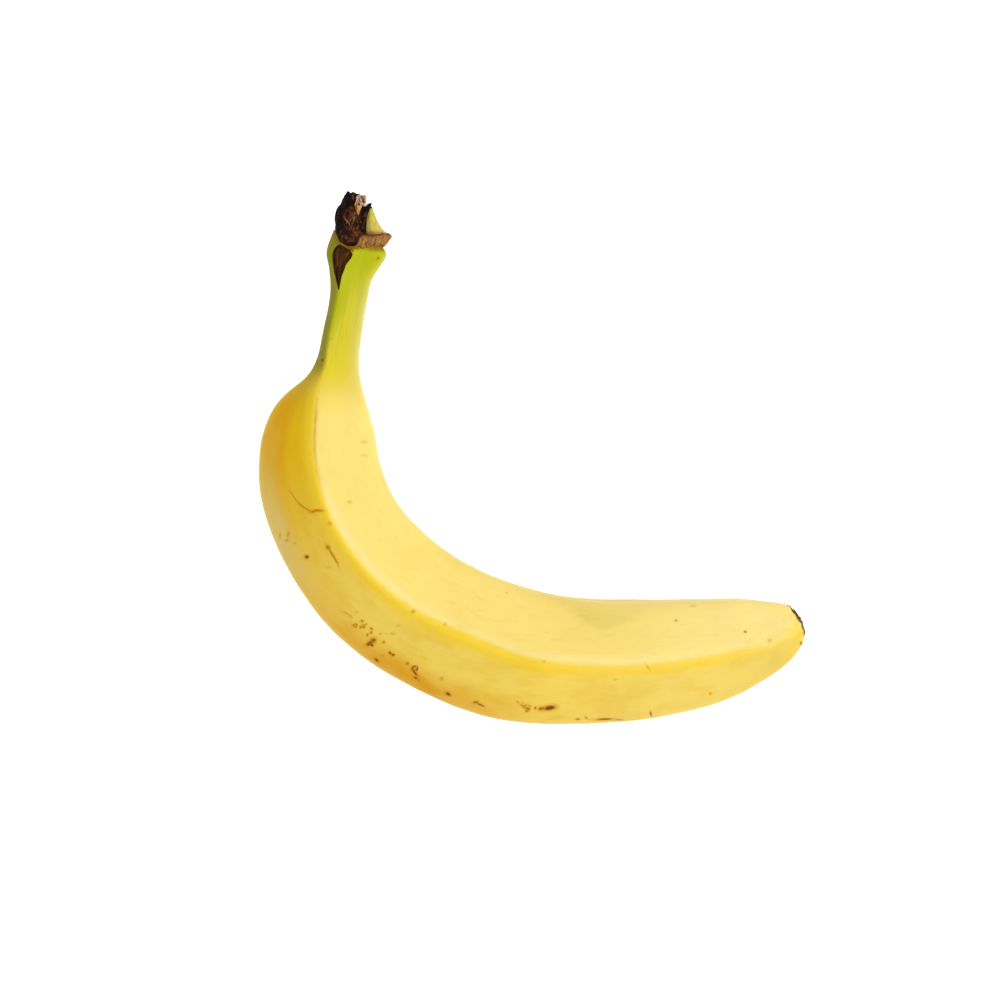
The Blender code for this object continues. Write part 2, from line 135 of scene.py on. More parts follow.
def spline(places: Array, values: Array, at: Array) -> Array:
    """Read the natural cubic spline through rows of values.

    Args:
        places: Increasing places of the rows.
        values: One row of values for each place.
        at: Places to read.

    Returns:
        One row of values for each place read.
    """
    count = len(places)
    gaps = np.diff(places)[:, None]
    matrix = np.eye(count)
    inner = np.arange(1, count - 1)
    matrix[inner, inner - 1] = gaps[:-1, 0]
    matrix[inner, inner] = 2.0 * (gaps[:-1, 0] + gaps[1:, 0])
    matrix[inner, inner + 1] = gaps[1:, 0]
    right = np.zeros_like(values)
    right[1:-1] = 6.0 * np.diff(np.diff(values, axis=0) / gaps, axis=0)
    bend = np.linalg.solve(matrix, right)
    left = np.clip(np.searchsorted(places, at, side="right") - 1, 0, count - 2)
    gap = (places[left + 1] - places[left])[:, None]
    ahead = (places[left + 1] - at)[:, None] / gap
    behind = 1.0 - ahead
    curve = (ahead**3 - ahead) * bend[left] + (behind**3 - behind) * bend[left + 1]
    return ahead * values[left] + behind * values[left + 1] + curve * gap**2 / 6.0


def linear(red: int, green: int, blue: int) -> Colour:
    """Return a screen colour as linear light, by the screen's own curve.

    Args:
        red: The red channel, 0 to 255.
        green: The green channel, 0 to 255.
        blue: The blue channel, 0 to 255.

    Returns:
        The three channels, 0 to 1.
    """
    share = np.array((red, green, blue)) / 255.0
    light = np.where(share <= 0.04045, share / 12.92, ((share + 0.055) / 1.055) ** 2.4)
    return tuple(float(value) for value in light)


# The studio's light is stronger than white, and its reflection adds a thin veil
STUDIO_LIGHT = 1.25
STUDIO_VEIL = 0.004
LEAST_LIGHT = 0.0012


def pigment(red: int, green: int, blue: int) -> Colour:
    """Return the surface colour that shows as a screen colour in the studio."""
    shown = linear(red, green, blue)
    return tuple(max(light - STUDIO_VEIL, LEAST_LIGHT) / STUDIO_LIGHT for light in shown)


# Meshes
def grid_object(
    name: str,
    points: Array,
    attributes: Mapping[str, Array],
    material: bpy.types.Material,
) -> Piece:
    """Make a mesh object from rings of points, closed round and at the ends.

    Rings follow each other along the first axis, and each ring is closed round the
    second. Each end gets a hub at the mean of its ring. Quads run so that their
    normals point away from the middle of the rings.

    Args:
        name: The object's name.
        points: Rings of points in millimetres, rings by columns by three.
        attributes: Values for each point, one number or three each.
        material: The object's material.

    Returns:
        The new object, linked to the scene.
    """
    rows, cols = points.shape[:2]
    index = np.arange(rows * cols).reshape(rows, cols)
    after = np.roll(index, -1, axis=1)
    quads = np.stack((index[:-1], after[:-1], after[1:], index[1:]), axis=-1).reshape(-1, 4)
    flat = points.reshape(-1, 3)
    values = {key: data.reshape(rows * cols, -1) for key, data in attributes.items()}
    fans = []
    for ring, order in ((0, 1), (rows - 1, -1)):
        hub = len(flat)
        flat = np.vstack((flat, points[ring].mean(axis=0)))
        for key, data in values.items():
            values[key] = np.vstack((data, data[index[ring]].mean(axis=0)))
        ends = (after[ring], index[ring])[::order]
        fans.append(np.stack((np.full(cols, hub), *ends), axis=-1))
    loops = np.concatenate([quads.ravel()] + [fan.ravel() for fan in fans])
    sizes = np.concatenate([np.full(len(quads), 4)] + [np.full(len(fan), 3) for fan in fans])
    if signed_volume(points) < 0.0:
        loops = turned_over(loops, sizes)
    return mesh_object(name, flat, loops, sizes, values, material)


def signed_volume(points: Array) -> float:
    """Add up the volumes between the rings' middle and the two halves of each quad.

    Args:
        points: Rings of points, rings by columns by three.

    Returns:
        Six times the volume inside the rings, negative if their quads face inwards.
    """
    after = np.roll(points, -1, axis=1)
    corners = (points[:-1], after[:-1], after[1:], points[1:])
    middle = points.reshape(-1, 3).mean(axis=0)
    first, second, third, fourth = (corner - middle for corner in corners)
    one = np.einsum("ijk,ijk->ij", first, np.cross(second, third))
    two = np.einsum("ijk,ijk->ij", first, np.cross(third, fourth))
    return float((one + two).sum())


def turned_over(loops: Array, sizes: Array) -> Array:
    """Put the corners of every face in the other order.

    Args:
        loops: The corners of all faces, one after another.
        sizes: How many corners each face has.

    Returns:
        The corners, each face's from its last to its first.
    """
    ends = np.cumsum(sizes)
    starts = ends - sizes
    face = np.repeat(np.arange(len(sizes)), sizes)
    place = np.arange(len(loops)) - starts[face]
    return loops[ends[face] - 1 - place]


def mesh_object(
    name: str,
    points: Array,
    loops: Array,
    sizes: Array,
    values: Mapping[str, Array],
    material: bpy.types.Material,
) -> Piece:
    """Make a smooth-shaded mesh object from flat arrays.

    Args:
        name: The object's name.
        points: Points in millimetres.
        loops: The corners of all faces, one after another.
        sizes: How many corners each face has.
        values: Rows of one or three numbers for each point, by attribute name.
        material: The object's material.

    Returns:
        The new object, linked to the scene.
    """
    mesh = bpy.data.meshes.new(name)
    mesh.vertices.add(len(points))
    mesh.vertices.foreach_set("co", (points * MM).astype(np.float32).ravel())
    mesh.loops.add(len(loops))
    mesh.loops.foreach_set("vertex_index", loops.astype(np.int32))
    mesh.polygons.add(len(sizes))
    starts = np.cumsum(sizes) - sizes
    mesh.polygons.foreach_set("loop_start", starts.astype(np.int32))
    mesh.polygons.foreach_set("use_smooth", np.ones(len(sizes), dtype=bool))
    for key, data in values.items():
        vector = data.shape[1] == 3
        kind = "FLOAT_VECTOR" if vector else "FLOAT"
        layer = mesh.attributes.new(key, kind, "POINT")
        layer.data.foreach_set("vector" if vector else "value", data.astype(np.float32).ravel())
    mesh.update(calc_edges=True)
    mesh.validate()
    mesh.materials.append(material)
    made = bpy.data.objects.new(name, mesh)
    bpy.context.scene.collection.objects.link(made)
    return made


# Shader expressions
Operand = Union["Wire", float]


class Wire:
    """A socket of a material that takes part in Python expressions."""

    def __init__(self, desk: "Desk", socket: bpy.types.NodeSocket) -> None:
        """Keep the socket and the desk that its nodes stand on."""
        self.desk = desk
        self.socket = socket

    def math(self, operation: str, *others: Operand) -> "Wire":
        """Return the result of a Math node on this wire and the others."""
        return self.desk.math(operation, self, *others)

    def __add__(self, other: Operand) -> "Wire":
        """Return the sum."""
        return self.math("ADD", other)

    __radd__ = __add__

    def __sub__(self, other: Operand) -> "Wire":
        """Return the difference."""
        return self.math("SUBTRACT", other)

    def __rsub__(self, other: float) -> "Wire":
        """Return the number less this wire."""
        return self.desk.math("SUBTRACT", other, self)

    def __mul__(self, other: Operand) -> "Wire":
        """Return the product."""
        return self.math("MULTIPLY", other)

    __rmul__ = __mul__

    def __pow__(self, other: float) -> "Wire":
        """Return the power."""
        return self.math("POWER", other)

    def most(self, other: Operand) -> "Wire":
        """Return the larger of the two."""
        return self.math("MAXIMUM", other)

    def step(self, low: float, high: float, top: float = 1.0) -> "Wire":
        """Return an S-curve over this wire.

        Args:
            low: The value where the curve is 0.
            high: The value where the curve reaches its top.
            top: The curve's height there.

        Returns:
            The curve's height.
        """
        settings = {"interpolation_type": "SMOOTHSTEP"}
        values = {"Value": self, "From Min": low, "From Max": high, "To Max": top}
        return self.desk.wire("ShaderNodeMapRange", settings, values, "Result")


# The numbered sockets of a Mix node that blends colours
MIX_FIRST, MIX_SECOND, MIX_RESULT = 6, 7, 2


class Desk:
    """The nodes of one material."""

    def __init__(self, name: str) -> None:
        """Start a material with an empty Principled shader.

        Args:
            name: The material's name.
        """
        self.material = bpy.data.materials.new(name)
        self.material.use_nodes = True
        self.tree = self.material.node_tree
        self.shader = self.tree.nodes["Principled BSDF"]

    def node(
        self, kind: str, settings: Mapping[str, object], values: Mapping[str, object]
    ) -> bpy.types.Node:
        """Add a node.

        Args:
            kind: The node's type.
            settings: Its own settings, set first.
            values: The value or wire for each input, by its name or number.

        Returns:
            The node.
        """
        made = self.tree.nodes.new(kind)
        for key, value in settings.items():
            setattr(made, key, value)
        for key, value in values.items():
            self.feed(made.inputs[key], value)
        return made

    def feed(self, socket: bpy.types.NodeSocket, value: object) -> None:
        """Give an input socket its value.

        Args:
            socket: The input socket.
            value: A wire, a colour, a vector or a number.
        """
        if isinstance(value, Wire):
            self.tree.links.new(value.socket, socket)
        elif socket.type == "RGBA":
            socket.default_value = (*value, 1.0)
        else:
            socket.default_value = value

    def wire(
        self,
        kind: str,
        settings: Mapping[str, object],
        values: Mapping[str, object],
        output: str | int = 0,
    ) -> Wire:
        """Add a node and return one of its outputs."""
        return Wire(self, self.node(kind, settings, values).outputs[output])

    def math(self, operation: str, *values: Operand) -> Wire:
        """Add a Math node and return its result."""
        return self.wire("ShaderNodeMath", {"operation": operation}, dict(enumerate(values)))

    def mix(self, factor: Operand, first: object, second: object) -> Wire:
        """Return a colour between the first, at factor 0, and the second, at 1."""
        values = {"Factor": factor, MIX_FIRST: first, MIX_SECOND: second}
        return self.wire("ShaderNodeMix", {"data_type": "RGBA"}, values, MIX_RESULT)

    def tint(self, factor: Operand, first: object, second: object) -> Wire:
        """Multiply the first colour by the second as far as the factor says.

        Args:
            factor: How far, from 0 to 1.
            first: The colour to tint.
            second: The colour to multiply it by.

        Returns:
            The tinted colour.
        """
        settings = {"data_type": "RGBA", "blend_type": "MULTIPLY"}
        values = {"Factor": factor, MIX_FIRST: first, MIX_SECOND: second}
        return self.wire("ShaderNodeMix", settings, values, MIX_RESULT)

    def place(self) -> Wire:
        """Return the object coordinates."""
        return self.wire("ShaderNodeTexCoord", {}, {}, "Object")

    def attribute(self, name: str, vector: bool = False) -> Wire:
        """Return an attribute of the mesh, as a number or a vector."""
        output = "Vector" if vector else "Fac"
        return self.wire("ShaderNodeAttribute", {"attribute_name": name}, {}, output)

    def noise(self, vector: Wire, grain: "Grain") -> Wire:
        """Read noise at the vector, stretched where the grain says so.

        Args:
            vector: Where the noise is read.
            grain: The noise's pattern.

        Returns:
            The noise, from 0 to 1.
        """
        if grain.stretch:
            stretch = {0: vector, 1: grain.stretch}
            vector = self.wire("ShaderNodeVectorMath", {"operation": "MULTIPLY"}, stretch)
        values = {"Vector": vector, "Scale": grain.scale, "Detail": grain.detail}
        values["Roughness"] = grain.rough
        return self.wire("ShaderNodeTexNoise", {}, values, "Fac")

    def finish(
        self,
        colour: Wire,
        roughness: Operand,
        height: Wire,
        relief: float,
        specular: float,
    ) -> bpy.types.Material:
        """Feed the shader and return the material.

        Args:
            colour: The base colour.
            roughness: The roughness.
            height: The fine relief's height, from 0 to 1.
            relief: How many metres a height of 1 stands out.
            specular: The strength of the highlights.

        Returns:
            The material.
        """
        self.feed(self.shader.inputs["Base Color"], colour)
        self.feed(self.shader.inputs["Roughness"], roughness)
        self.feed(self.shader.inputs["Specular IOR Level"], specular)
        values = {"Height": height, "Strength": 1.0, "Distance": relief}
        self.feed(self.shader.inputs["Normal"], self.wire("ShaderNodeBump", {}, values, "Normal"))
        return self.material


@dataclass(frozen=True)
class Grain:
    """A noise pattern: its scale, detail, roughness and stretch in three directions."""

    scale: float
    detail: float = 3.0
    rough: float = 0.5
    stretch: Triple | None = None


# Curves that lay tints over a shape
class Over(Enum):
    """What a curve runs over."""

    RUN = "millimetres from the crown along the fruit"
    TIP = "millimetres from the blossom end"
    TURN = "degrees from the hollow side round the section"
    AWAY = "millimetres from the side ridge towards the hollow side"
    SLANT = "the run, longer towards the hollow side"
    ACROSS = "millimetres along x"
    ALONG = "millimetres along y"
    LEVEL = "millimetres above the floor"
    SEAM = "millimetres past the seam at the neck's foot"


RUN, TIP, TURN, AWAY, SLANT, ACROSS, ALONG, LEVEL, SEAM = Over
Places = Mapping[Over, Array]


@dataclass(frozen=True)
class Rise:
    """An S-curve: low at its start and before it, high at its stop and past it."""

    over: Over
    start: float
    stop: float
    low: float = 0.0
    high: float = 1.0

    def at(self, places: Places) -> Array:
        """Return the curve's height at each point."""
        return blended((self.low, self.high), smoothstep(self.start, self.stop, places[self.over]))


@dataclass(frozen=True)
class Hill:
    """A bell curve of height 1."""

    over: Over
    middle: float
    width: float

    def at(self, places: Places) -> Array:
        """Return the curve's height at each point."""
        return bell(places[self.over], self.middle, self.width)


# A layer is a strength and the curves that it is multiplied by
Layer = tuple[Union[float, Rise, Hill], ...]


def layered(layer: Layer, places: Places) -> Array:
    """Return the layer's strength times all its curves at each point."""
    return layer[0] * math.prod(curve.at(places) for curve in layer[1:])


# The photograph's frame
@dataclass(frozen=True)
class View:
    """The camera straight above the fruit and the photograph's frame of 1000 pixels."""

    pixels: float = 1000.0
    pixel_mm: float = 0.28
    box_middle: Pair = (531.75, 457.25)
    lens: float = 100.0
    sensor: float = 36.0
    level: float = 18.5
    clip_start: float = 0.01

    @property
    def distance(self) -> float:
        """The camera's distance from the fruit's middle level, in millimetres."""
        return self.pixels * self.pixel_mm * self.lens / self.sensor

    def eye(self) -> Array:
        """Work out the camera's place over the middle of the photograph's frame.

        Returns:
            The place in millimetres.
        """
        middle = self.pixels / 2.0
        x = (middle - self.box_middle[0]) * self.pixel_mm
        y = (self.box_middle[1] - middle) * self.pixel_mm
        return np.array((x, y, self.level + self.distance))

    def pixel_of(self, points: Array) -> Array:
        """Work out where points appear in the photograph's frame, by perspective.

        Args:
            points: Points in millimetres.

        Returns:
            Their pixels, rightwards and downwards.
        """
        eye = self.eye()
        offset = points - eye
        scale = self.distance / self.pixel_mm / -offset[..., 2:3]
        turn = np.array((1.0, -1.0))
        return self.pixels / 2.0 + offset[..., 0:2] * scale * turn

    def build(self) -> None:
        """Create the camera and make it the scene's."""
        data = bpy.data.cameras.new("camera")
        data.lens = self.lens
        data.sensor_width = self.sensor
        data.clip_start = self.clip_start
        camera = bpy.data.objects.new("camera", data)
        camera.location = tuple(self.eye() * MM)
        bpy.context.scene.collection.objects.link(camera)
        bpy.context.scene.camera = camera


# Marks on the skin
class Tint(Enum):
    """The colour of a mark on the skin."""

    DARK = pigment(144, 70, 0)
    RUST = pigment(190, 116, 0)
    OLIVE = pigment(194, 156, 36)
    MOSS = pigment(112, 84, 0)


# A mark's strength stands on this step, a point without a mark holds the far value, only
# skin whose normal rises more than this faces the camera, and a mark's own coordinates
# reach past its edge by a share of its size and a few pixels
MARK_STEP = 10.0
MARK_FAR = 9.0
FACING = -0.05
REACH_SHARE = 1.6
REACH_PIXELS = 3.6
# How far the marks of a scratch run past the middle of each stretch
STREAK_OVERLAP = 0.62


@dataclass(frozen=True)
class Mark:
    """One mark: its middle and half sizes in pixels, its turn in degrees, its strength."""

    x: float
    y: float
    long: float
    wide: float
    turn: float
    strength: float
    tint: Tint = Tint.RUST

    @property
    def reach(self) -> float:
        """How far from its middle the mark needs its own coordinates, in pixels."""
        return REACH_SHARE * max(self.long, self.wide) + REACH_PIXELS

    def clear_of(self, other: "Mark") -> bool:
        """Return whether the two marks can share a sheet."""
        return math.hypot(self.x - other.x, self.y - other.y) > self.reach + other.reach

    def lay(self, sheet: Array, pixels: Array, facing: Array) -> None:
        """Write the mark's own coordinates and strength into a sheet.

        The coordinates are the offset from the mark's middle, turned with the mark and
        divided by its half sizes, so that its edge is the unit circle. The strength
        stands on a high step, so that it is lost at once between a point inside the
        mark's reach and a point outside it.

        Args:
            sheet: The sheet's rows of three values for each point of the skin.
            pixels: Where each point shows in the photograph's frame.
            facing: Whether each point faces the camera.
        """
        offset = pixels - (self.x, self.y)
        near = (np.hypot(offset[..., 0], offset[..., 1]) < self.reach) & facing
        cos, sin = math.cos(math.radians(self.turn)), math.sin(math.radians(self.turn))
        sheet[near, 0] = (offset[near, 0] * cos - offset[near, 1] * sin) / self.long
        sheet[near, 1] = (offset[near, 0] * sin + offset[near, 1] * cos) / self.wide
        sheet[near, 2] = MARK_STEP + self.strength


def streak(route: Sequence[Triple], wide: float, tint: Tint) -> list[Mark]:
    """Return overlapping marks that make a scratch along a route.

    Args:
        route: Points in pixels, each with the strength there.
        wide: The scratch's half width in pixels.
        tint: Its colour.

    Returns:
        One mark for each stretch between two points.
    """
    marks = []
    for (x1, y1, s1), (x2, y2, s2) in zip(route, route[1:]):
        length = math.hypot(x2 - x1, y2 - y1)
        turn = math.degrees(math.atan2(y1 - y2, x2 - x1))
        middle = ((x1 + x2) / 2.0, (y1 + y2) / 2.0)
        long = STREAK_OVERLAP * length + wide
        marks.append(Mark(*middle, long, wide, turn, (s1 + s2) / 2.0, tint))
    return marks


MARKS: tuple[Mark, ...] = (
    # Flecks on the lower left of the outer face
    Mark(345.5, 613, 3.2, 1, -25, 0.45, Tint.OLIVE),
    Mark(350.4, 616.4, 1.4, 1, -30, 0.45, Tint.OLIVE),
    Mark(356.7, 612, 1.2, 1, 0, 0.35, Tint.OLIVE),
    Mark(362, 621, 1.5, 1.1, -20, 0.75),
    Mark(353.6, 625.2, 1.3, 1, 30, 0.8),
    Mark(356.4, 624.6, 1.3, 0.9, -60, 0.85),
    Mark(355.8, 627, 1.4, 0.8, 20, 0.7),
    Mark(360.9, 627, 1.2, 1, 60, 0.85),
    Mark(364, 627, 1.4, 1, 30, 0.85),
    Mark(363.6, 624.9, 1.1, 0.8, 0, 0.7),
    Mark(371.4, 628.8, 1.5, 1, -30, 0.75),
    Mark(371, 632.6, 1.3, 1, 40, 0.85),
    Mark(367.2, 635, 1.3, 0.8, 80, 0.85),
    Mark(373.2, 640.6, 2.5, 2, 20, 1, Tint.DARK),
    Mark(369.5, 643.6, 3.1, 1.9, 25, 1, Tint.DARK),
    Mark(372, 645.2, 1.6, 1.1, -40, 0.95, Tint.DARK),
    Mark(380.5, 633.7, 1.2, 1, 0, 0.45, Tint.OLIVE),
    Mark(383.7, 642.1, 1.3, 1.1, 0, 0.8),
    Mark(392.5, 633.7, 1.5, 1.3, 0, 0.35, Tint.OLIVE),
    Mark(390, 653, 1.4, 1.1, -60, 0.95, Tint.DARK),
    Mark(392.8, 654.8, 1.5, 1.1, 0, 0.95, Tint.DARK),
    Mark(382.6, 656.1, 1.3, 1, 0, 0.45, Tint.OLIVE),
    Mark(376.7, 660, 2.4, 1.3, -45, 0.85, Tint.DARK),
    Mark(407.5, 663.5, 1.5, 1.3, -50, 0.8),
    Mark(412.6, 668.9, 1.9, 1.4, 80, 1, Tint.DARK),
    Mark(414.6, 666.4, 1.9, 0.8, 0, 0.85, Tint.DARK),
    Mark(414.2, 670.6, 1.5, 1, -20, 0.9, Tint.DARK),
    Mark(417, 669, 1.9, 0.9, 75, 0.95, Tint.DARK),
    Mark(415, 673, 2.9, 1, -48, 0.95, Tint.DARK),
    Mark(415.6, 677.8, 1.9, 1, -20, 0.9, Tint.DARK),
    Mark(418.4, 680.4, 1.2, 0.7, -40, 0.6),
    Mark(398.4, 625.3, 1.3, 1.1, 0, 0.25, Tint.OLIVE),
    # Under the belly
    Mark(441.6, 678.6, 1.5, 1.2, 0, 0.6, Tint.OLIVE),
    Mark(448.2, 694, 2.6, 1.4, -30, 1, Tint.DARK),
    Mark(475.6, 702.2, 2.2, 1.1, 5, 0.9, Tint.DARK),
    Mark(517.9, 702.2, 1.4, 0.9, -30, 0.45),
    Mark(522.2, 705.4, 2, 0.8, -35, 0.7),
    Mark(525.6, 705.6, 1.6, 0.8, 50, 0.75),
    Mark(524.4, 707.6, 1.7, 0.9, -35, 0.65),
    Mark(529.6, 705.9, 1.3, 0.8, -40, 0.6),
    Mark(527.9, 708.6, 1.8, 1.3, -10, 0.95),
    Mark(527, 711, 1.7, 0.9, 10, 0.85),
    Mark(535.3, 708, 1.3, 0.9, 70, 0.8, Tint.DARK),
    Mark(541.2, 708.6, 2.6, 1.4, 15, 0.95, Tint.DARK),
    Mark(549.6, 707.9, 5.6, 2.1, 8, 1, Tint.DARK),
    Mark(577.7, 719.2, 1.9, 0.8, 0, 0.7, Tint.DARK),
    Mark(586.3, 717.8, 1.9, 0.8, -40, 0.6),
    Mark(604.6, 719.2, 7, 1, 2, 0.85, Tint.DARK),
    Mark(619, 719.6, 3.6, 0.7, 0, 0.6),
    Mark(650.8, 713.8, 2.2, 0.8, -75, 0.85, Tint.DARK),
    Mark(710.4, 693.6, 1.2, 0.9, 0, 0.6),
    Mark(615, 679.6, 1.8, 0.9, 0, 0.25, Tint.OLIVE),
    # Along the ridge and on the inner face
    Mark(413.2, 611.6, 1.5, 1.2, 0, 0.65, Tint.OLIVE),
    Mark(445, 624.5, 1.3, 1.1, 0, 0.35, Tint.OLIVE),
    Mark(544, 661.4, 1.3, 1, 0, 0.32, Tint.OLIVE),
    Mark(647.9, 667.2, 3, 0.7, -52, 0.42, Tint.OLIVE),
    Mark(676, 620.6, 1.1, 1, 0, 0.7, Tint.OLIVE),
    Mark(745.2, 631.8, 1.1, 0.9, -40, 0.8, Tint.MOSS),
    Mark(804.4, 632.6, 1, 1.3, 0, 0.95, Tint.MOSS),
    Mark(801.2, 643.4, 1, 1.3, 20, 0.9, Tint.MOSS),
    Mark(692.6, 606, 2.6, 1.2, 0, 0.22),
    Mark(769.8, 640.4, 1.5, 1.6, 0, 0.32),
    Mark(507, 592.5, 1, 0.9, 0, 0.26, Tint.OLIVE),
    Mark(363.7, 442, 2.6, 1.4, 0, 0.28, Tint.OLIVE),
    Mark(364.6, 455.4, 3, 1.3, -10, 0.22, Tint.OLIVE),
    Mark(349.5, 502, 1.8, 1.3, 0, 0.35, Tint.OLIVE),
    # Left of the outer face
    Mark(329.7, 523.6, 1.5, 1.2, 0, 0.6, Tint.OLIVE),
    Mark(288.2, 534.4, 2.6, 1.2, 80, 0.42),
    Mark(286.8, 540.4, 1.9, 1.1, 30, 0.4),
    Mark(280, 535.4, 2.6, 0.9, 80, 0.36),
    Mark(294.9, 543.2, 1.6, 0.8, -30, 0.3),
    Mark(306.7, 556.9, 1.8, 1.7, 0, 0.95, Tint.DARK),
    Mark(328, 547.2, 1.7, 1.5, 0, 0.85),
    Mark(328.7, 567.4, 2, 1, 0, 0.25, Tint.OLIVE),
    # Neck
    Mark(322.2, 360, 1.7, 1.6, 0, 0.9, Tint.MOSS),
    Mark(330.8, 338.7, 1.2, 1, 0, 0.35, Tint.OLIVE),
    Mark(378.2, 258.2, 1.4, 1.5, 0, 0.5, Tint.MOSS),
    *streak(
        (
            (290.4, 491.5, 0.20),
            (292.8, 495.4, 0.35),
            (298.7, 503.0, 0.50),
            (303.8, 507.4, 0.62),
            (311.9, 511.9, 0.55),
        ),
        0.6,
        Tint.RUST,
    ),
    *streak(((311.9, 511.9, 0.70), (316.0, 510.6, 0.75), (321.4, 510.7, 0.8)), 0.9, Tint.RUST),
    *streak(
        ((328.6, 548.4, 0.8), (333, 555.6, 0.6), (336.2, 561, 0.42), (338.5, 566.4, 0.18)),
        0.9,
        Tint.RUST,
    ),
    *streak(((478.2, 703.8, 0.7), (482.8, 705.7, 0.95)), 0.8, Tint.DARK),
)


def mark_sheets(marks: Sequence[Mark]) -> dict[Tint, list[list[Mark]]]:
    """Deal the marks into sheets of one tint whose marks stay clear of each other.

    Args:
        marks: All the marks.

    Returns:
        The sheets of each tint.
    """
    dealt: dict[Tint, list[list[Mark]]] = {tint: [] for tint in Tint}
    for mark in marks:
        sheets = dealt[mark.tint]
        fits = [sheet for sheet in sheets if all(mark.clear_of(other) for other in sheet)]
        if not fits:
            fits = [[]]
            sheets.append(fits[0])
        fits[0].append(mark)
    return dealt


# Form of the fruit
@dataclass(frozen=True)
class Station:
    """One cross-section of the fruit, in millimetres and degrees.

    The hollow and outer points are its ends in the plane of the bend, thick and under
    are its thickness and the height of its underside, and ridge is its side ridge's
    angle, from the hollow side.
    """

    hollow_x: float
    hollow_y: float
    outer_x: float
    outer_y: float
    thick: float
    under: float
    ridge: float

    def row(self) -> tuple[float, ...]:
        """Return the values in order."""
        hollow, outer = (self.hollow_x, self.hollow_y), (self.outer_x, self.outer_y)
        return (*hollow, *outer, self.thick, self.under, self.ridge)


STATIONS: tuple[Station, ...] = (
    Station(-41.8, 58.8, -55.5, 63.8, 10.2, 11.2, 116),
    Station(-41.1, 57.7, -56.6, 61, 11.6, 10.6, 116),
    Station(-41.1, 56.4, -57.5, 58, 12.5, 10.2, 116),
    Station(-42.7, 53.8, -57.3, 55.2, 11.9, 10.3, 117),
    Station(-44.7, 50.6, -56.8, 52.2, 10.9, 10.8, 118),
    Station(-45.8, 46.8, -56.5, 48.4, 10.2, 11, 118),
    Station(-46.7, 42.4, -56.8, 44, 10, 11, 120),
    Station(-47.6, 36.9, -58, 38.5, 10.2, 10.7, 120),
    Station(-48.4, 30.9, -59.2, 32.6, 10.7, 10.2, 119),
    Station(-48.6, 25.1, -60.6, 27.4, 12, 9.2, 116),
    Station(-48, 20.6, -62.6, 23.7, 14.6, 7.6, 114),
    Station(-47, 16.7, -65.2, 21.1, 18.4, 5.4, 112),
    Station(-45.9, 13.2, -68.5, 18.5, 22.6, 3, 107),
    Station(-45, 9.9, -71.6, 15.3, 26.2, 0.9, 102),
    Station(-44.2, 6.4, -74.2, 10.6, 29.4, -0.7, 99),
    Station(-43.5, 2.4, -76.1, 3.9, 31.8, -0.7, 97),
    Station(-42.5, -2, -76.5, -6.4, 33.3, 0.1, 95),
    Station(-40.7, -7.1, -74.1, -17.9, 34.6, 0.7, 95),
    Station(-37.2, -13.6, -67.8, -31.9, 35.5, 0.8, 95),
    Station(-31.3, -20.2, -58.3, -45.6, 36.2, 0.3, 95),
    Station(-24.2, -26.1, -46.3, -56.6, 36.7, -0.7, 94),
    Station(-15.9, -31, -32.8, -64.6, 36.7, -0.7, 94),
    Station(-6.6, -34.8, -18.9, -70.7, 36.4, 0, 95),
    Station(2.8, -37.4, -3.6, -74.2, 36, 0.5, 97),
    Station(12.9, -38.8, 11.4, -74.7, 34.9, 0.7, 98),
    Station(24.2, -39.5, 25.2, -74.2, 33.6, 0.6, 99),
    Station(35.5, -39.9, 39, -72.4, 32, 0, 99),
    Station(44.6, -39.9, 49.6, -69.9, 30.3, -0.8, 99),
    Station(52.6, -39.8, 58.4, -66.7, 27.8, -0.6, 101),
    Station(58.8, -39.8, 64.4, -63.4, 24.6, 1, 102),
    Station(64.2, -40.3, 68.5, -60.8, 21.2, 2.9, 100),
    Station(67.8, -40.75, 71.3, -58.5, 18.4, 4.8, 97),
    Station(69.6, -41.15, 73.6, -56.1, 15.7, 6.4, 96),
    Station(70.4, -41.5, 75.3, -53.6, 13.4, 7.6, 98),
    Station(70.9, -41.6, 76.2, -51.5, 11.6, 8.6, 101),
    Station(71.4, -41.8, 76.6, -49.7, 10, 9.4, 103),
)


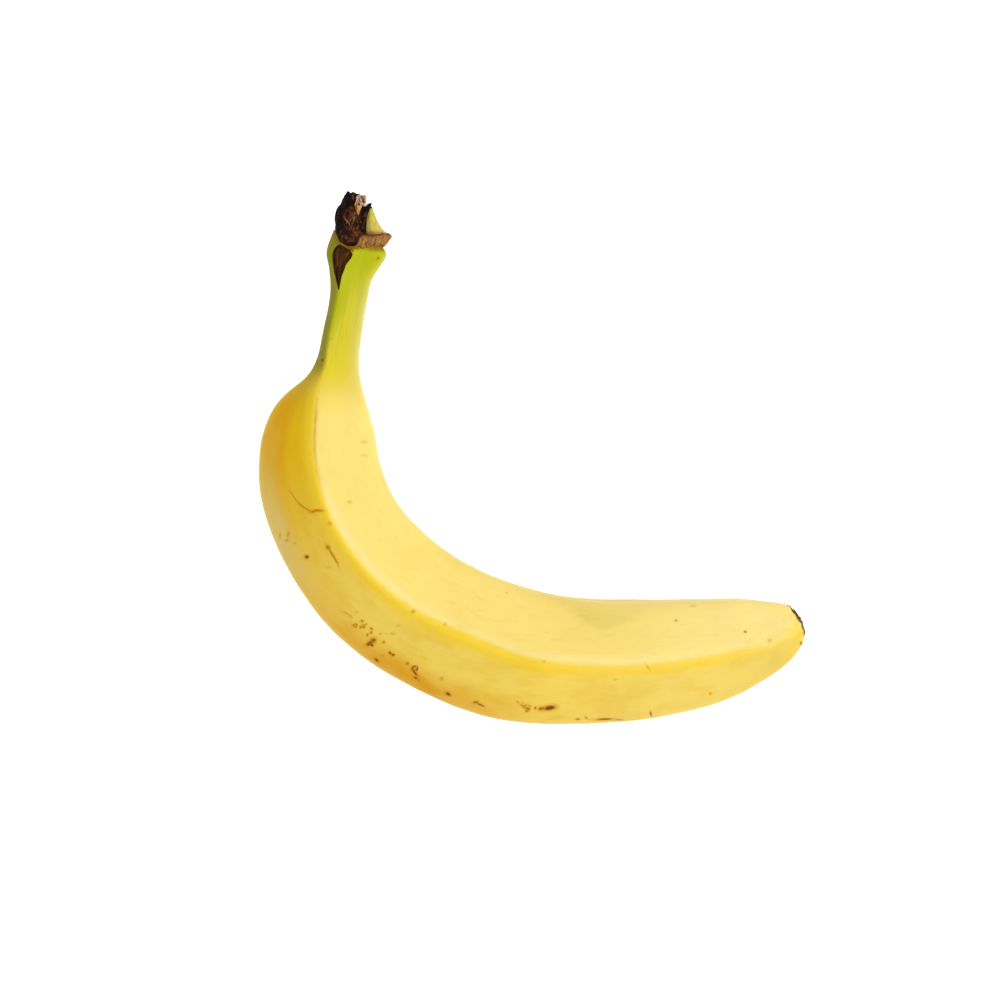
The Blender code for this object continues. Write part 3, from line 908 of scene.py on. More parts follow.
@dataclass(frozen=True)
class Section:
    """The fruit's cross-section: five grown faces and a blunt back."""

    face_spread: float = 33.0
    back_reach: float = 1.20
    corner_power: float = 8.0
    bead_height: float = 0.030
    bead_width: float = 5.0
    face_hollow: float = 0.022
    hollow_width: float = 20.0
    outer_hollow: float = 0.6
    shares: Triple = (0.2, 0.35, 0.45)
    eased: float = 0.55
    uneven: float = 0.005
    waves: tuple[tuple[float, float, float, float], ...] = (
        (1, 11, 2, 0),
        (0.7, 6.3, -3, 1.3),
        (0.5, 17, 1, 4),
    )

    def angles(self, ridge: Array, count: int) -> Array:
        """Return angles round the sections, gathered towards their ridges.

        The half from 0 to 180 degrees is cut at the inner ridge and the side ridge.
        Inside each stretch the angle is a blend of an even run and a cosine ease, and
        the other half mirrors it.

        Args:
            ridge: The side ridge's angle in degrees, one for each ring.
            count: Points round each ring, an even number.

        Returns:
            Angles in radians, rings by points.
        """
        turn = np.linspace(-1.0, 1.0, count, endpoint=False)
        half = np.abs(turn)[None, :]
        ends = np.cumsum((0.0, *self.shares))
        inner = (ridge - self.face_spread) / 2.0
        corners = np.stack((np.zeros_like(ridge), inner, ridge, np.full_like(ridge, 180.0)))
        angle = np.zeros((len(ridge), count))
        for index in range(3):
            low, high = corners[index][:, None], corners[index + 1][:, None]
            share = np.clip((half - ends[index]) / (ends[index + 1] - ends[index]), 0.0, 1.0)
            cosine = (1.0 - np.cos(np.pi * share)) / 2.0
            angle += (high - low) * ((1.0 - self.eased) * share + self.eased * cosine)
        return np.radians(angle) * np.where(turn < 0.0, -1.0, 1.0)[None, :]

    def radius(self, angles: Array, ridge: Array) -> Array:
        """Return the section's radius: flat faces blended into rounded ridges.

        The radius is the power mean of the distances at which a ray at the angle meets
        the faces. A bead is added at each side ridge and each face dips a little.

        Args:
            angles: Angles in radians, rings by points.
            ridge: The side ridge's angle in degrees, one for each ring.

        Returns:
            The radius at each angle, 1 where it meets the middle of a face.
        """
        spread = self.face_spread
        column = ridge[:, None]
        faces = (
            (0.0 * column, 1.0),
            (column - spread, 1.0),
            (spread - column, 1.0),
            (column + spread, 1.0),
            (-column - spread, 1.0),
            (0.0 * column + 180.0, self.back_reach),
        )
        total = np.zeros_like(angles)
        for direction, reach in faces:
            facing = np.maximum(np.cos(angles - np.radians(direction)), 0.0)
            total += (facing / reach) ** self.corner_power
        away = np.degrees(np.abs(angles)) - column
        bead = bell(away, 0.0, self.bead_width)
        dip = bell(away, -spread, self.hollow_width)
        dip += self.outer_hollow * bell(away, spread, self.hollow_width)
        swell = 1.0 + self.bead_height * bead - self.face_hollow * dip
        return total ** (-1.0 / self.corner_power) * swell

    def unevenness(self, place: Array, angles: Array) -> Array:
        """Return the slow swelling and thinning of the skin, from crossing sine waves.

        Each wave has a size, a length along the fruit, a count round it and a start.

        Args:
            place: The rings' places along the fruit in millimetres.
            angles: Angles in radians, rings by points.

        Returns:
            The factor for each point's radius.
        """
        swell = np.zeros_like(angles)
        for size, length, count, start in self.waves:
            swell += size * np.sin(place[:, None] / length + count * angles + start)
        return 1.0 + self.uneven * swell


@dataclass(frozen=True)
class Leaf:
    """The sunken leaf-shaped scar on the neck, in millimetres.

    Each edge row gives a height along +Y and the scar's left and right edges there.
    """

    edges: tuple[Triple, ...] = (
        (46.6, -54, -53.8),
        (50.4, -54.9, -53),
        (53.6, -55.5, -51.8),
        (55.6, -55.8, -50.3),
        (56.6, -55.9, -50),
        (57.7, -55.5, -50.8),
        (58.7, -54.7, -52.2),
        (59.2, -53.8, -53.2),
    )
    depth: float = 0.75
    front: float = 16.5
    end_slope: float = 1.5
    most: float = 3.0
    wall: Pair = (-0.1, 0.9)
    lip_height: float = 0.12
    lip: Pair = (-0.35, 0.3)

    def fill(self, points: Array) -> Array:
        """Work out how far inside the scar each point lies.

        The edges are straight between the rows, and the distance is taken sideways.

        Args:
            points: Points in millimetres.

        Returns:
            The distance in millimetres, under 0 outside.
        """
        table = np.array(self.edges)
        x, y = points[..., 0], points[..., 1]
        left = np.interp(y, table[:, 0], table[:, 1])
        right = np.interp(y, table[:, 0], table[:, 2])
        sideways = np.minimum(x - left, right - x)
        ends = np.minimum(y - table[0, 0], table[-1, 0] - y)
        inside = np.clip(np.minimum(sideways, self.end_slope * ends), -self.most, self.most)
        return np.where(points[..., 2] > self.front, inside, -self.most)

    def sink(self, fill: Array) -> Array:
        """Return how deep the scar lies, in millimetres: a wall down, behind a raised lip."""
        return self.depth * smoothstep(*self.wall, fill) - self.lip_height * bell(fill, *self.lip)


@dataclass(frozen=True)
class Dent:
    """The shallow dent on the hollow side, in millimetres."""

    place: Pair = (20, -43)
    size: Pair = (19, 9)
    depth: float = 1.3
    above: Pair = (9, 15)
    fold: tuple[Pair, ...] = ((4.0, -38.8), (7.9, -41.4), (19.2, -47.5), (33.0, -43.3))
    fold_edge: Pair = (-1, 1)
    shade_fall: Pair = (8, 1.5)
    shade_x: Pair = (19, 10.5)
    shade_above: Pair = (12, 18)

    def press(self, points: Array) -> Array:
        """Work out how deep the dent presses each point in, from a bell in two directions.

        Args:
            points: Points in millimetres.

        Returns:
            The depth in millimetres.
        """
        offset = (points[..., 0:2] - self.place) / self.size
        depth = self.depth * np.exp(-np.sum(offset**2, axis=-1))
        return depth * smoothstep(*self.above, points[..., 2])

    def shade(self, points: Array) -> Array:
        """Work out how shaded each point is: full just inside the fold, fading past it.

        Args:
            points: Points in millimetres.

        Returns:
            The shade from 0 to 1.
        """
        fold = np.array(self.fold)
        inside = points[..., 1] - np.interp(points[..., 0], fold[:, 0], fold[:, 1])
        shade = smoothstep(*self.fold_edge, inside) * smoothstep(*self.shade_fall, inside)
        shade *= bell(points[..., 0], *self.shade_x)
        return shade * smoothstep(*self.shade_above, points[..., 2])


@dataclass(frozen=True)
class PeelFinish:
    """The skin: waxy yellow, green at the neck, with ripening marks."""

    inner: Colour = pigment(252, 225, 126)
    inner_pale: Colour = pigment(251, 227, 142)
    # Painted highlight: the lighter line on the hollow-side flank of the side ridge
    inner_highlight: Colour = pigment(254, 232, 150)
    mottled: Colour = pigment(232, 186, 48)
    lobe: Colour = pigment(236, 214, 56)
    # The shoulder lobe's outer side: its own olive colour, partly painted shade
    lobe_shaded_side: Colour = pigment(208, 172, 14)
    outer: Colour = pigment(250, 217, 96)
    # Painted sheen: a pale greyish tone along the outer back edge; also a paler outer face towards the
    # tip
    outer_pale_and_sheen: Colour = pigment(236, 210, 120)
    shaded: Colour = pigment(238, 192, 0)
    shaded_orange: Colour = pigment(230, 170, 0)
    ridge: Colour = pigment(251, 214, 56)
    # Painted highlight on the raised bead beside the side ridge
    bead: Colour = pigment(248, 214, 66)
    # Painted shade in the narrow groove beside the side ridge
    crease: Colour = pigment(206, 164, 62)
    neck: Colour = pigment(212, 202, 44)
    neck_light: Colour = pigment(226, 212, 66)
    crown: Colour = pigment(190, 192, 30)
    neck_pale: Colour = pigment(214, 208, 136)
    # The neck's outer face: partly its own darker olive, partly painted shade
    side: Colour = pigment(142, 136, 0)
    golden: Colour = pigment(230, 162, 14)
    halo: Colour = pigment(216, 152, 0)
    rind: Colour = pigment(120, 96, 44)
    # Brown along the seam at the neck's foot and beside the stump, and painted shade just under the
    # crown's rim
    stain_and_shade: Colour = pigment(132, 84, 6)
    scar: Colour = pigment(66, 38, 20)
    scar_dark: Colour = pigment(36, 20, 14)
    scar_warm: Colour = pigment(118, 76, 28)
    brown: Colour = pigment(150, 104, 52)
    waxy: Colour = linear(249, 243, 222)
    streaked: Colour = linear(247, 238, 214)
    # Painted shade: a grey tint where the hollow side turns away, near the tip, in the dent and inside
    # its fold
    turned: Colour = linear(240, 240, 234)
    blotch: Grain = Grain(60.0)
    fine: Grain = Grain(0.9, stretch=(0.25, 1.0, 1.0))
    fibre: Grain = Grain(1.0, 2.0, stretch=(0.05, 1.6, 1.6))
    mottle: Grain = Grain(0.16, 4.0, stretch=(0.7, 1.0, 1.0))
    warm: Grain = Grain(1.4, 4.0, stretch=(0.15, 1.0, 1.0))
    pores: Grain = Grain(2.6, 4.0, 0.6, (0.6, 1.0, 1.0))
    mark_edge: Grain = Grain(3200.0, 2.0)
    mark_ragged: float = 0.9
    halo_step: Triple = (2.8, 1, 0.5)
    mark_step: Pair = (1.5, 0.5)
    ridge_highlight_strength: float = 0.8
    rear_ragged: float = 0.9
    rear_step: Pair = (0.1, 0.9)
    mottled_step: Triple = (0.42, 0.68, 0.35)
    ridge_blotch: Pair = (0.65, 0.5)
    bead_highlight_strength: float = 0.8
    crease_shade_least: float = 0.35
    waxy_step: Pair = (0.45, 0.75)
    waxy_strength: float = 0.5
    streaked_step: Pair = (0.5, 0.8)
    streaked_strength: float = 0.4
    golden_mottle: Pair = (0.35, 1.3)
    tip_step: Triple = (0.35, 0.65, 0.4)
    neck_step: Pair = (0.3, 0.7)
    green_step: Pair = (0, 0.75)
    crown_step: Pair = (0.6, 1.05)
    side_shade_step: Pair = (0, 0.36)
    side_shade_strength: float = 0.92
    stain_and_shade_ragged: float = 0.5
    stain_and_shade_step: Pair = (0.1, 1)
    rind_ragged: float = 0.7
    rind_step: Pair = (0.3, 0.7)
    scar_ragged: float = 0.5
    scar_edge: Pair = (-0.12, 0.12)
    scar_dark_step: Pair = (0.7, 0.1)
    scar_warm_step: Pair = (0.45, 0.7)
    roughness: float = 0.46
    roughness_shares: Triple = (0.1, 0.08, 0.16)
    relief: float = 0.00011
    relief_shares: Triple = (0.55, 0.45, 2)
    specular: float = 0.045
    subsurface: float = 0.12
    subsurface_radius: Triple = (1, 0.6, 0.15)
    subsurface_scale: float = 0.002

    def marks(self, desk: Desk, colour: Wire, sheets: Mapping[str, Tint]) -> Wire:
        """Lay the marks on the colour.

        A mark's edge is the unit circle of its own coordinates, roughened by noise.

        Args:
            desk: The material's nodes.
            colour: The colour under the marks.
            sheets: The tint of each attribute that holds marks.

        Returns:
            The colour with the marks.
        """
        ragged = self.mark_ragged * (desk.noise(desk.place(), self.mark_edge) - 0.5)
        for name, tint in sheets.items():
            local = desk.wire("ShaderNodeSeparateXYZ", {}, {0: desk.attribute(name, vector=True)})
            u, v, step = (Wire(desk, socket) for socket in local.socket.node.outputs)
            strength = (step - MARK_STEP).most(0.0)
            far = (u * u + v * v) ** 0.5 + ragged
            colour = desk.mix(far.step(*self.halo_step) * strength, colour, self.halo)
            colour = desk.mix(far.step(*self.mark_step) * strength, colour, tint.value)
        return colour

    def material(self, sheets: Mapping[str, Tint]) -> bpy.types.Material:
        """Lay the tints of the skin over each other, from the faces to the scar.

        Args:
            sheets: The tint of each attribute that holds marks.

        Returns:
            The material.
        """
        desk = Desk("peel")
        place = desk.place()
        grain = desk.attribute("grain", vector=True)
        outer = desk.attribute("outer")
        ridge = desk.attribute("ridge_line")
        green = desk.attribute("green")
        leaf = desk.attribute("leaf")
        blotch = desk.noise(place, self.blotch)
        fine = desk.noise(grain, self.fine)
        fibre = desk.noise(grain, self.fibre)
        mottle = desk.noise(grain, self.mottle)
        inner = desk.mix(desk.attribute("fore"), self.inner, self.inner_pale)
        # Painted highlight along the hollow-side flank of the side ridge
        inner = desk.mix(desk.attribute("ridge_highlight") * self.ridge_highlight_strength, inner, self.inner_highlight)
        colour = desk.mix(outer, inner, self.outer)
        rear = desk.attribute("rear") + self.rear_ragged * (mottle - 0.5)
        shaded = desk.mix(rear.step(*self.rear_step), self.shaded, self.shaded_orange)
        colour = desk.mix(desk.attribute("shade"), colour, shaded)
        colour = desk.mix(outer * mottle.step(*self.mottled_step), colour, self.mottled)
        # Painted sheen along the outer back edge, and a paler outer face towards the tip
        colour = desk.mix(desk.attribute("pale"), colour, self.outer_pale_and_sheen)
        # On the lobe's outer side the darker olive is partly painted shade
        colour = desk.mix(desk.attribute("lobe"), colour, desk.mix(outer, self.lobe, self.lobe_shaded_side))
        least, share = self.ridge_blotch
        colour = desk.mix(ridge * (least + share * blotch), colour, self.ridge)
        # Painted highlight on the raised bead beside the side ridge
        colour = desk.mix(desk.attribute("bead") * self.bead_highlight_strength, colour, self.bead)
        # Painted shade in the groove beside the side ridge
        crease = desk.attribute("crease") * (self.crease_shade_least + fine)
        colour = desk.mix(crease, colour, self.crease)
        waxy = blotch.step(*self.waxy_step) * self.waxy_strength
        colour = desk.tint(waxy, colour, self.waxy)
        streaked = fine.step(*self.streaked_step) * self.streaked_strength
        colour = desk.tint(streaked, colour, self.streaked)
        # Painted shade at the hollow edge, near the tip, in the dent and inside its fold
        colour = desk.tint(desk.attribute("turned"), colour, self.turned)
        least, share = self.golden_mottle
        golden = desk.attribute("golden") * (least + share * mottle)
        colour = desk.mix(golden, colour, self.golden)
        tip = desk.attribute("tip") * mottle.step(*self.tip_step)
        colour = desk.mix(tip, colour, self.ridge)
        neck = desk.mix(fibre.step(*self.neck_step), self.neck, self.neck_light)
        colour = desk.mix(green.step(*self.green_step), colour, neck)
        colour = desk.mix(green.step(*self.crown_step), colour, self.crown)
        # Darker olive on the neck's outer face, partly painted shade
        side = outer * green.step(*self.side_shade_step) * self.side_shade_strength
        colour = desk.mix(side, colour, self.side)
        colour = desk.mix(desk.attribute("cool"), colour, self.neck_pale)
        colour = desk.mix(desk.attribute("dry"), colour, self.brown)
        # Brown along the seam and beside the stump, with painted shade just under the crown's rim
        stained_and_shaded = desk.attribute("stain_and_shade") + self.stain_and_shade_ragged * (fine - 0.5)
        colour = desk.mix(stained_and_shaded.step(*self.stain_and_shade_step), colour, self.stain_and_shade)
        rind = desk.attribute("rind") + self.rind_ragged * (fine - 0.5)
        colour = desk.mix(rind.step(*self.rind_step), colour, self.rind)
        colour = self.marks(desk, colour, sheets)
        ragged = leaf + self.scar_ragged * (fine - 0.5)
        warm = desk.noise(grain, self.warm)
        tissue = desk.mix(warm.step(*self.scar_warm_step), self.scar, self.scar_warm)
        tissue = desk.mix(ragged.step(*self.scar_dark_step), tissue, self.scar_dark)
        inside = ragged.step(*self.scar_edge)
        colour = desk.mix(inside, colour, tissue)
        pores = desk.noise(grain, self.pores)
        blotched, pored, scarred = self.roughness_shares
        rough = self.roughness + blotched * (blotch - 0.5) + pored * (pores - 0.5) + scarred * inside
        pored, fibrous, scarred = self.relief_shares
        height = pored * pores + fibrous * fibre + inside * warm * scarred
        shader = desk.shader.inputs
        shader["Subsurface Weight"].default_value = self.subsurface
        shader["Subsurface Radius"].default_value = self.subsurface_radius
        shader["Subsurface Scale"].default_value = self.subsurface_scale
        return desk.finish(colour, rough, height, self.relief, self.specular)


# The masks of the skin that are one layer each
SKIN_LAYERS: dict[str, Layer] = {
    # Painted highlight on the raised bead beside the side ridge
    "bead": (1.0, Hill(AWAY, -0.45, 0.42), Hill(RUN, 60, 15)),
    # Painted shade in the groove beside the side ridge
    "crease": (0.7, Hill(AWAY, 0.55, 0.55), Hill(RUN, 56, 12)),
    # Painted highlight on the hollow-side flank of the side ridge
    "ridge_highlight": (1.0, Hill(AWAY, 2.2, 1.7), Rise(RUN, 60, 80), Rise(TIP, 12, 40)),
    "fore": (1.0, Rise(ACROSS, 18, 62), Rise(AWAY, 0, 3)),
    "cool": (0.65, Rise(TURN, 75, 25), Rise(RUN, 6, 22), Rise(RUN, 52, 34)),
    "lobe": (1.0, Rise(SLANT, 56, 37)),
    "rear": (1.0, Rise(TURN, 112, 150), Rise(TURN, 150, 172, 1.0, 0.3)),
    "golden": (1.0, Rise(TURN, 130, 160), Hill(RUN, 122, 26), Rise(TURN, 164, 180, 0.85, 0.5)),
    "tip": (1.0, Rise(TIP, 11, 2)),
    "rind": (1.0, Rise(TIP, 0.9, 0.1), Rise(TURN, 15, 60)),
}


@dataclass(frozen=True)
class SkinPattern:
    """Where the tints of the skin lie that take more than one layer.

    The faces meet at the side ridge, on a line that the shifts move along the fruit.
    A pair of edges holds where an S-curve over the line starts or stops: first where
    the ridge is crisp, then where it is soft.
    """

    soft: Rise = Rise(RUN, 90, 130)
    shifts: tuple[Layer, ...] = (
        (1.3, Rise(TIP, 20, 8)),
        (-0.5, Hill(RUN, 94, 21)),
        (-0.3, Hill(RUN, 22, 8)),
        (-1.1, Hill(RUN, 136, 15)),
    )
    outer_start: Pair = (0.7, 1.9)
    outer_stop: Pair = (-1.5, -1.9)
    ridge_start: Pair = (1.3, 2.0)
    ridge_stop: Pair = (-0.3, 0.2)
    ridge_offset: float = 0.9
    ridge_width: Rise = Rise(RUN, 140, 170, 2.2, 1.6)
    ridge: Layer = (1.0, Rise(RUN, 26, 52), Rise(TIP, 0, 26), Rise(RUN, 138, 180, 1.0, 0.7))
    lobe_slant: float = 0.55
    greens: tuple[Layer, ...] = (
        (1.0, Rise(RUN, -4, 54, 1.08, 0.0)),
        (0.10, Rise(RUN, 6, -6)),
        (0.34, Rise(AWAY, 4.6, 0.2), Rise(RUN, 8, 22), Rise(RUN, 41, 28)),
    )
    shade: Layer = (1.0, Rise(RUN, 34, 48), Rise(RUN, 104, 56))
    # Painted sheen along the outer back edge; the far layer makes the outer face paler towards the tip
    pale: Layer = (0.9, Rise(TURN, 133, 157), Hill(RUN, 78, 13), Rise(TURN, 164, 180, 1.0, 0.4))
    far_pale: Layer = (0.35, Rise(RUN, 155, 190))
    # Painted shade where the hollow side turns away, and on the outer face near the tip
    hollow: Layer = (0.75, Rise(TURN, 45, 10), Rise(RUN, 55, 75))
    blunt: Layer = (0.6, Rise(TIP, 28, 8))
    # Painted shade in the dent and inside its fold
    dent_shade_strength: float = 0.4
    fold_shade_strength: float = 0.75
    dry_strength: float = 0.9
    dry_start: Rise = Rise(ACROSS, -52, -47, 1.5, 2.4)
    dry_stop: float = 0.6
    seam_place: Pair = (-52.1, 59.1)
    seam_lean: Pair = (0.61, 0.79)
    # Brown along the seam and beside the stump; the last layer is painted shade just under the crown's
    # rim
    stains_and_shades: tuple[Layer, ...] = (
        (1.2, Hill(SEAM, 0, 0.34), Rise(ACROSS, -49.4, -50), Rise(ACROSS, -54.4, -53.6)),
        (
            0.75,
            Rise(SEAM, 0, 0.5),
            Rise(ALONG, 57.4, 58),
            Rise(ACROSS, -47.6, -48.4),
            Rise(ACROSS, -54.4, -53.6),
        ),
        (0.75, Rise(ACROSS, -56.6, -53.4), Rise(ACROSS, -51.6, -52.6), Rise(ALONG, 57.2, 61)),
        (0.6, Rise(RUN, 4.6, 2.4), Rise(ACROSS, -52, -49.5)),
    )

    def places(self, points: Array, run: Array, tip: Array, turn: Array, away: Array) -> Places:
        """Gather what the curves run over.

        Args:
            points: The skin's points in millimetres.
            run: How far each lies from the crown along the fruit.
            tip: How far it lies from the blossom end.
            turn: How many degrees it lies from the hollow side.
            away: How far it lies from the side ridge.

        Returns:
            The value of each place at every point.
        """
        seam = (points[..., 0:2] - self.seam_place) @ np.array(self.seam_lean)
        slant = run + self.lobe_slant * np.maximum(away, 0.0)
        values = (run, tip, turn, away, slant, *np.moveaxis(points, -1, 0), seam)
        return dict(zip(Over, values))

    def faces(self, places: Places) -> dict[str, Array]:
        """Lay out the outer face and the ridge line, a bell just outside the face's edge.

        Args:
            places: The value of each place at every point.

        Returns:
            Both masks.
        """
        soft = self.soft.at(places)
        line = places[AWAY] + sum(layered(shift, places) for shift in self.shifts)
        outer = smoothstep(blended(self.outer_start, soft), blended(self.outer_stop, soft), line)
        edge = smoothstep(blended(self.ridge_start, soft), blended(self.ridge_stop, soft), line)
        ridge = bell(np.minimum(line + self.ridge_offset, 0.0), 0.0, self.ridge_width.at(places))
        return {"outer": outer, "ridge_line": ridge * edge * layered(self.ridge, places)}

    def masks(self, places: Places, dent: Array, fold: Array) -> dict[str, Array]:
        """Work out every mask from the curves.

        Args:
            places: The value of each place at every point.
            dent: How deep the dent is, from 0 to 1.
            fold: How shaded the skin is inside the dent's fold.

        Returns:
            One array for each attribute, by its name.
        """
        values = self.faces(places)
        outer = values["outer"]
        values |= {name: layered(layer, places) for name, layer in SKIN_LAYERS.items()}
        values["green"] = sum(layered(layer, places) for layer in self.greens)
        values["shade"] = outer * layered(self.shade, places)
        # The stronger of the painted sheen at the back edge and the paler outer face towards the tip
        far_pale = outer * layered(self.far_pale, places)
        values["pale"] = np.maximum(layered(self.pale, places), far_pale)
        # Painted shade at the hollow edge and the tip, in the dent and inside its fold
        turned = layered(self.hollow, places) + outer * layered(self.blunt, places)
        turned = turned + self.dent_shade_strength * dent + self.fold_shade_strength * fold
        values["turned"] = np.clip(turned, 0.0, 1.0)
        dry = smoothstep(self.dry_start.at(places), self.dry_stop, places[RUN])
        values["dry"] = self.dry_strength * dry
        # The stronger of the brown at the neck's foot and the painted shade under the rim
        stains_and_shades = [layered(layer, places) for layer in self.stains_and_shades]
        values["stain_and_shade"] = np.maximum.reduce(stains_and_shades)
        return values


@dataclass
class Peel:
    """The skin of the fruit, from the torn crown to the blossom scar."""

    section: Section
    leaf: Leaf
    dent: Dent
    finish: PeelFinish
    pattern: SkinPattern
    rings: int = 330
    columns: int = 288
    probes: int = 2000
    neck_rings: Triple = (2.2, 4, 14)
    tip_rings: Pair = (2.5, 16)
    groove_depth: float = 0.2
    groove: Pair = (0.45, 0.4)
    groove_run: Pair = (59, 12)
    flute: Triple = (0.05, 9, 0.06)
    flute_run: Pair = (52, 20)
    gathers: Pair = (0.1, 11)
    gather_tip: Pair = (12, 1)
    dimples: tuple[tuple[float, float, int, int], ...] = ((0.10, 9.0, 3, 3), (0.025, 2.2, 8, 1))
    tilt: Pair = (1.5, 0.35)
    tilt_tip: Pair = (7, 0)
    tilt_way: Pair = (0.88, 0.47)
    ridge_stretch: float = 1.05

    def __post_init__(self) -> None:
        """Work out the surface once."""
        table = np.array([station.row() for station in STATIONS])
        middles = (table[:, 0:2] + table[:, 2:4]) / 2.0
        gaps = np.hypot(*np.diff(middles, axis=0).T)
        self.places = np.concatenate(([0.0], np.cumsum(gaps)))
        self.along = self.ring_places()
        self.rows = spline(self.places, table, self.along)
        self.angles = self.section.angles(self.rows[:, 6], self.columns)
        self.points, self.grain = self.surface()
        self.normals = self.outward(self.points)
        self.values = self.masks()
        self.points = self.refined()
        self.normals = self.outward(self.points)

    def ring_places(self) -> Array:
        """Spread the rings so that their spacing is least at both ends.

        The spacing is set by a density that is high at the neck's scar and at the
        blossom end, and the places are read from its running sum.

        Returns:
            The rings' places along the fruit in millimetres.
        """
        length = self.places[-1]
        probe = np.linspace(0.0, length, self.probes)
        extra, middle, width = self.neck_rings
        tip_extra, tip_length = self.tip_rings
        density = 1.0 + extra * bell(probe, middle, width)
        density += tip_extra * smoothstep(length - tip_length, length, probe)
        total = np.concatenate(([0.0], np.cumsum((density[1:] + density[:-1]) / 2.0)))
        return np.interp(np.linspace(0.0, total[-1], self.rings), total, probe)

    def surface(self) -> tuple[Array, Array]:
        """Work out the rings' points and the same fruit straightened out.

        Each ring is the section, fitted between the station's hollow and outer points
        and between its underside and top. The straightened fruit runs along x with the
        section in y and z, so a pattern on it follows the skin.

        Returns:
            The points of both, in millimetres, rings by columns by three.
        """
        rows, angles = self.rows, self.angles
        radius = self.section.radius(angles, rows[:, 6])
        radius = radius * self.section.unevenness(self.along, angles)
        across, upward = radius * np.cos(angles), radius * np.sin(angles)
        low, high = across.min(axis=1)[:, None], across.max(axis=1)[:, None]
        across = (across - low) / (high - low)
        low, high = upward.min(axis=1)[:, None], upward.max(axis=1)[:, None]
        upward = (upward - low) / (high - low)
        hollow, outer = rows[:, None, 0:2], rows[:, None, 2:4]
        flat = outer + (hollow - outer) * across[..., None]
        height = rows[:, None, 5] + rows[:, None, 4] * upward
        points = np.concatenate((flat, height[..., None]), axis=-1)
        width = np.linalg.norm(rows[:, 0:2] - rows[:, 2:4], axis=1)[:, None]
        run = np.repeat(self.along[:, None], self.columns, axis=1)
        grain = np.stack((run, width * (across - 0.5), rows[:, None, 4] * (upward - 0.5)), axis=-1)
        return points, grain

    def outward(self, points: Array) -> Array:
        """Work out normals as the cross product of the steps round and along the grid.

        Args:
            points: The grid's points, rings by columns by three.

        Returns:
            Unit normals that point away from the rings' middles.
        """
        around = np.roll(points, -1, axis=1) - np.roll(points, 1, axis=1)
        along = np.gradient(points, axis=0)
        normal = np.cross(around, along)
        normal /= np.linalg.norm(normal, axis=-1, keepdims=True) + 1e-12
        middle = points.mean(axis=1, keepdims=True)
        facing = np.sum(normal * (points - middle), axis=-1).mean()
        return normal * (1.0 if facing > 0.0 else -1.0)

    def ridge_distance(self) -> Array:
        """Work out how far each point lies from its side ridge along the ring.

        Returns:
            The distance in millimetres, positive on the hollow side of the ridge.
        """
        half = np.linalg.norm(self.rows[:, 0:2] - self.rows[:, 2:4], axis=1)[:, None] / 2.0
        away = self.rows[:, 6:7] - np.degrees(np.abs(self.angles))
        return np.radians(away) * half * self.ridge_stretch

    def masks(self) -> dict[str, Array]:
        """Work out the values that the skin's material reads.

        Returns:
            One array for each attribute, by its name.
        """
        run = np.repeat(self.along[:, None], self.columns, axis=1)
        turn = np.degrees(np.abs(self.angles))
        tip, away = self.places[-1] - run, self.ridge_distance()
        places = self.pattern.places(self.points, run, tip, turn, away)
        dent = self.dent.press(self.points) / self.dent.depth
        values = self.pattern.masks(places, dent, self.dent.shade(self.points))
        return {"grain": self.grain, "leaf": self.leaf.fill(self.points), **values}

    def refined(self) -> Array:
        """Give the surface its fine relief.

        The dent and the scar press it in along its normals, a narrow groove runs
        beside the side ridge at the shoulder, the neck is lightly fluted, sine waves
        gather the skin at the tip, and noise adds slow dimples. The tip leans forward
        from its foot up, and where the fruit rests it is pressed flat at the floor.

        Returns:
            The points in millimetres.
        """
        points, run = self.points, self.along[:, None]
        tip = self.places[-1] - run
        groove = self.groove_depth * bell(self.ridge_distance(), *self.groove)
        groove = groove * bell(run, *self.groove_run)
        size, count, twist = self.flute
        flute = size * np.sin(count * self.angles + twist * run) * smoothstep(*self.flute_run, run)
        size, count = self.gathers
        gathered = size * np.sin(count * self.angles) * smoothstep(*self.gather_tip, tip)
        rise = flute + gathered - groove - self.dent.press(points)
        rise -= self.leaf.sink(self.values["leaf"])
        for height, width, seed, layers in self.dimples:
            rise += height * layered_noise(self.grain / width, seed, layers)
        fine = points + self.normals * rise[..., None]
        steepness, level = self.tilt
        tilt = (points[..., 2] - self.rows[:, 5:6]) / self.rows[:, 4:5] - level
        tilt = steepness * tilt * smoothstep(*self.tilt_tip, tip)
        fine[..., 0:2] += tilt[..., None] * np.array(self.tilt_way)
        fine[..., 2] = np.maximum(fine[..., 2], 0.0)
        return fine

    def mark_values(self, view: View) -> tuple[dict[str, Array], dict[str, Tint]]:
        """Lay the marks into sheets as the photograph's camera sees them.

        Args:
            view: The photograph's frame.

        Returns:
            An attribute for each sheet of marks, and each attribute's tint.
        """
        pixels = view.pixel_of(self.points)
        facing = self.normals[..., 2] > FACING
        values, tints = {}, {}
        for tint, sheets in mark_sheets(MARKS).items():
            for index, marks in enumerate(sheets):
                sheet = np.full(self.points.shape, MARK_FAR)
                sheet[..., 2] = 0.0
                for mark in marks:
                    mark.lay(sheet, pixels, facing)
                name = f"{tint.name.lower()}_{index}"
                values[name], tints[name] = sheet, tint
        return values, tints

    def build(self, view: View) -> list[Piece]:
        """Make the skin with its masks and marks.

        Args:
            view: The photograph's frame.

        Returns:
            The skin.
        """
        values, tints = self.mark_values(view)
        values = {**self.values, **values}
        skin = grid_object("peel", self.points, values, self.finish.material(tints))
        LOG.info("marks on %d sheets", len(tints))
        return [skin]


# Torn stem end
@dataclass(frozen=True)
class Level:
    """One level of a torn piece: height along +Y, edges in x, half depth, forward shift."""

    up: float
    left: float
    right: float
    deep: float
    forward: float

    def row(self) -> tuple[float, ...]:
        """Return the values in order."""
        return (self.up, self.left, self.right, self.deep, self.forward)


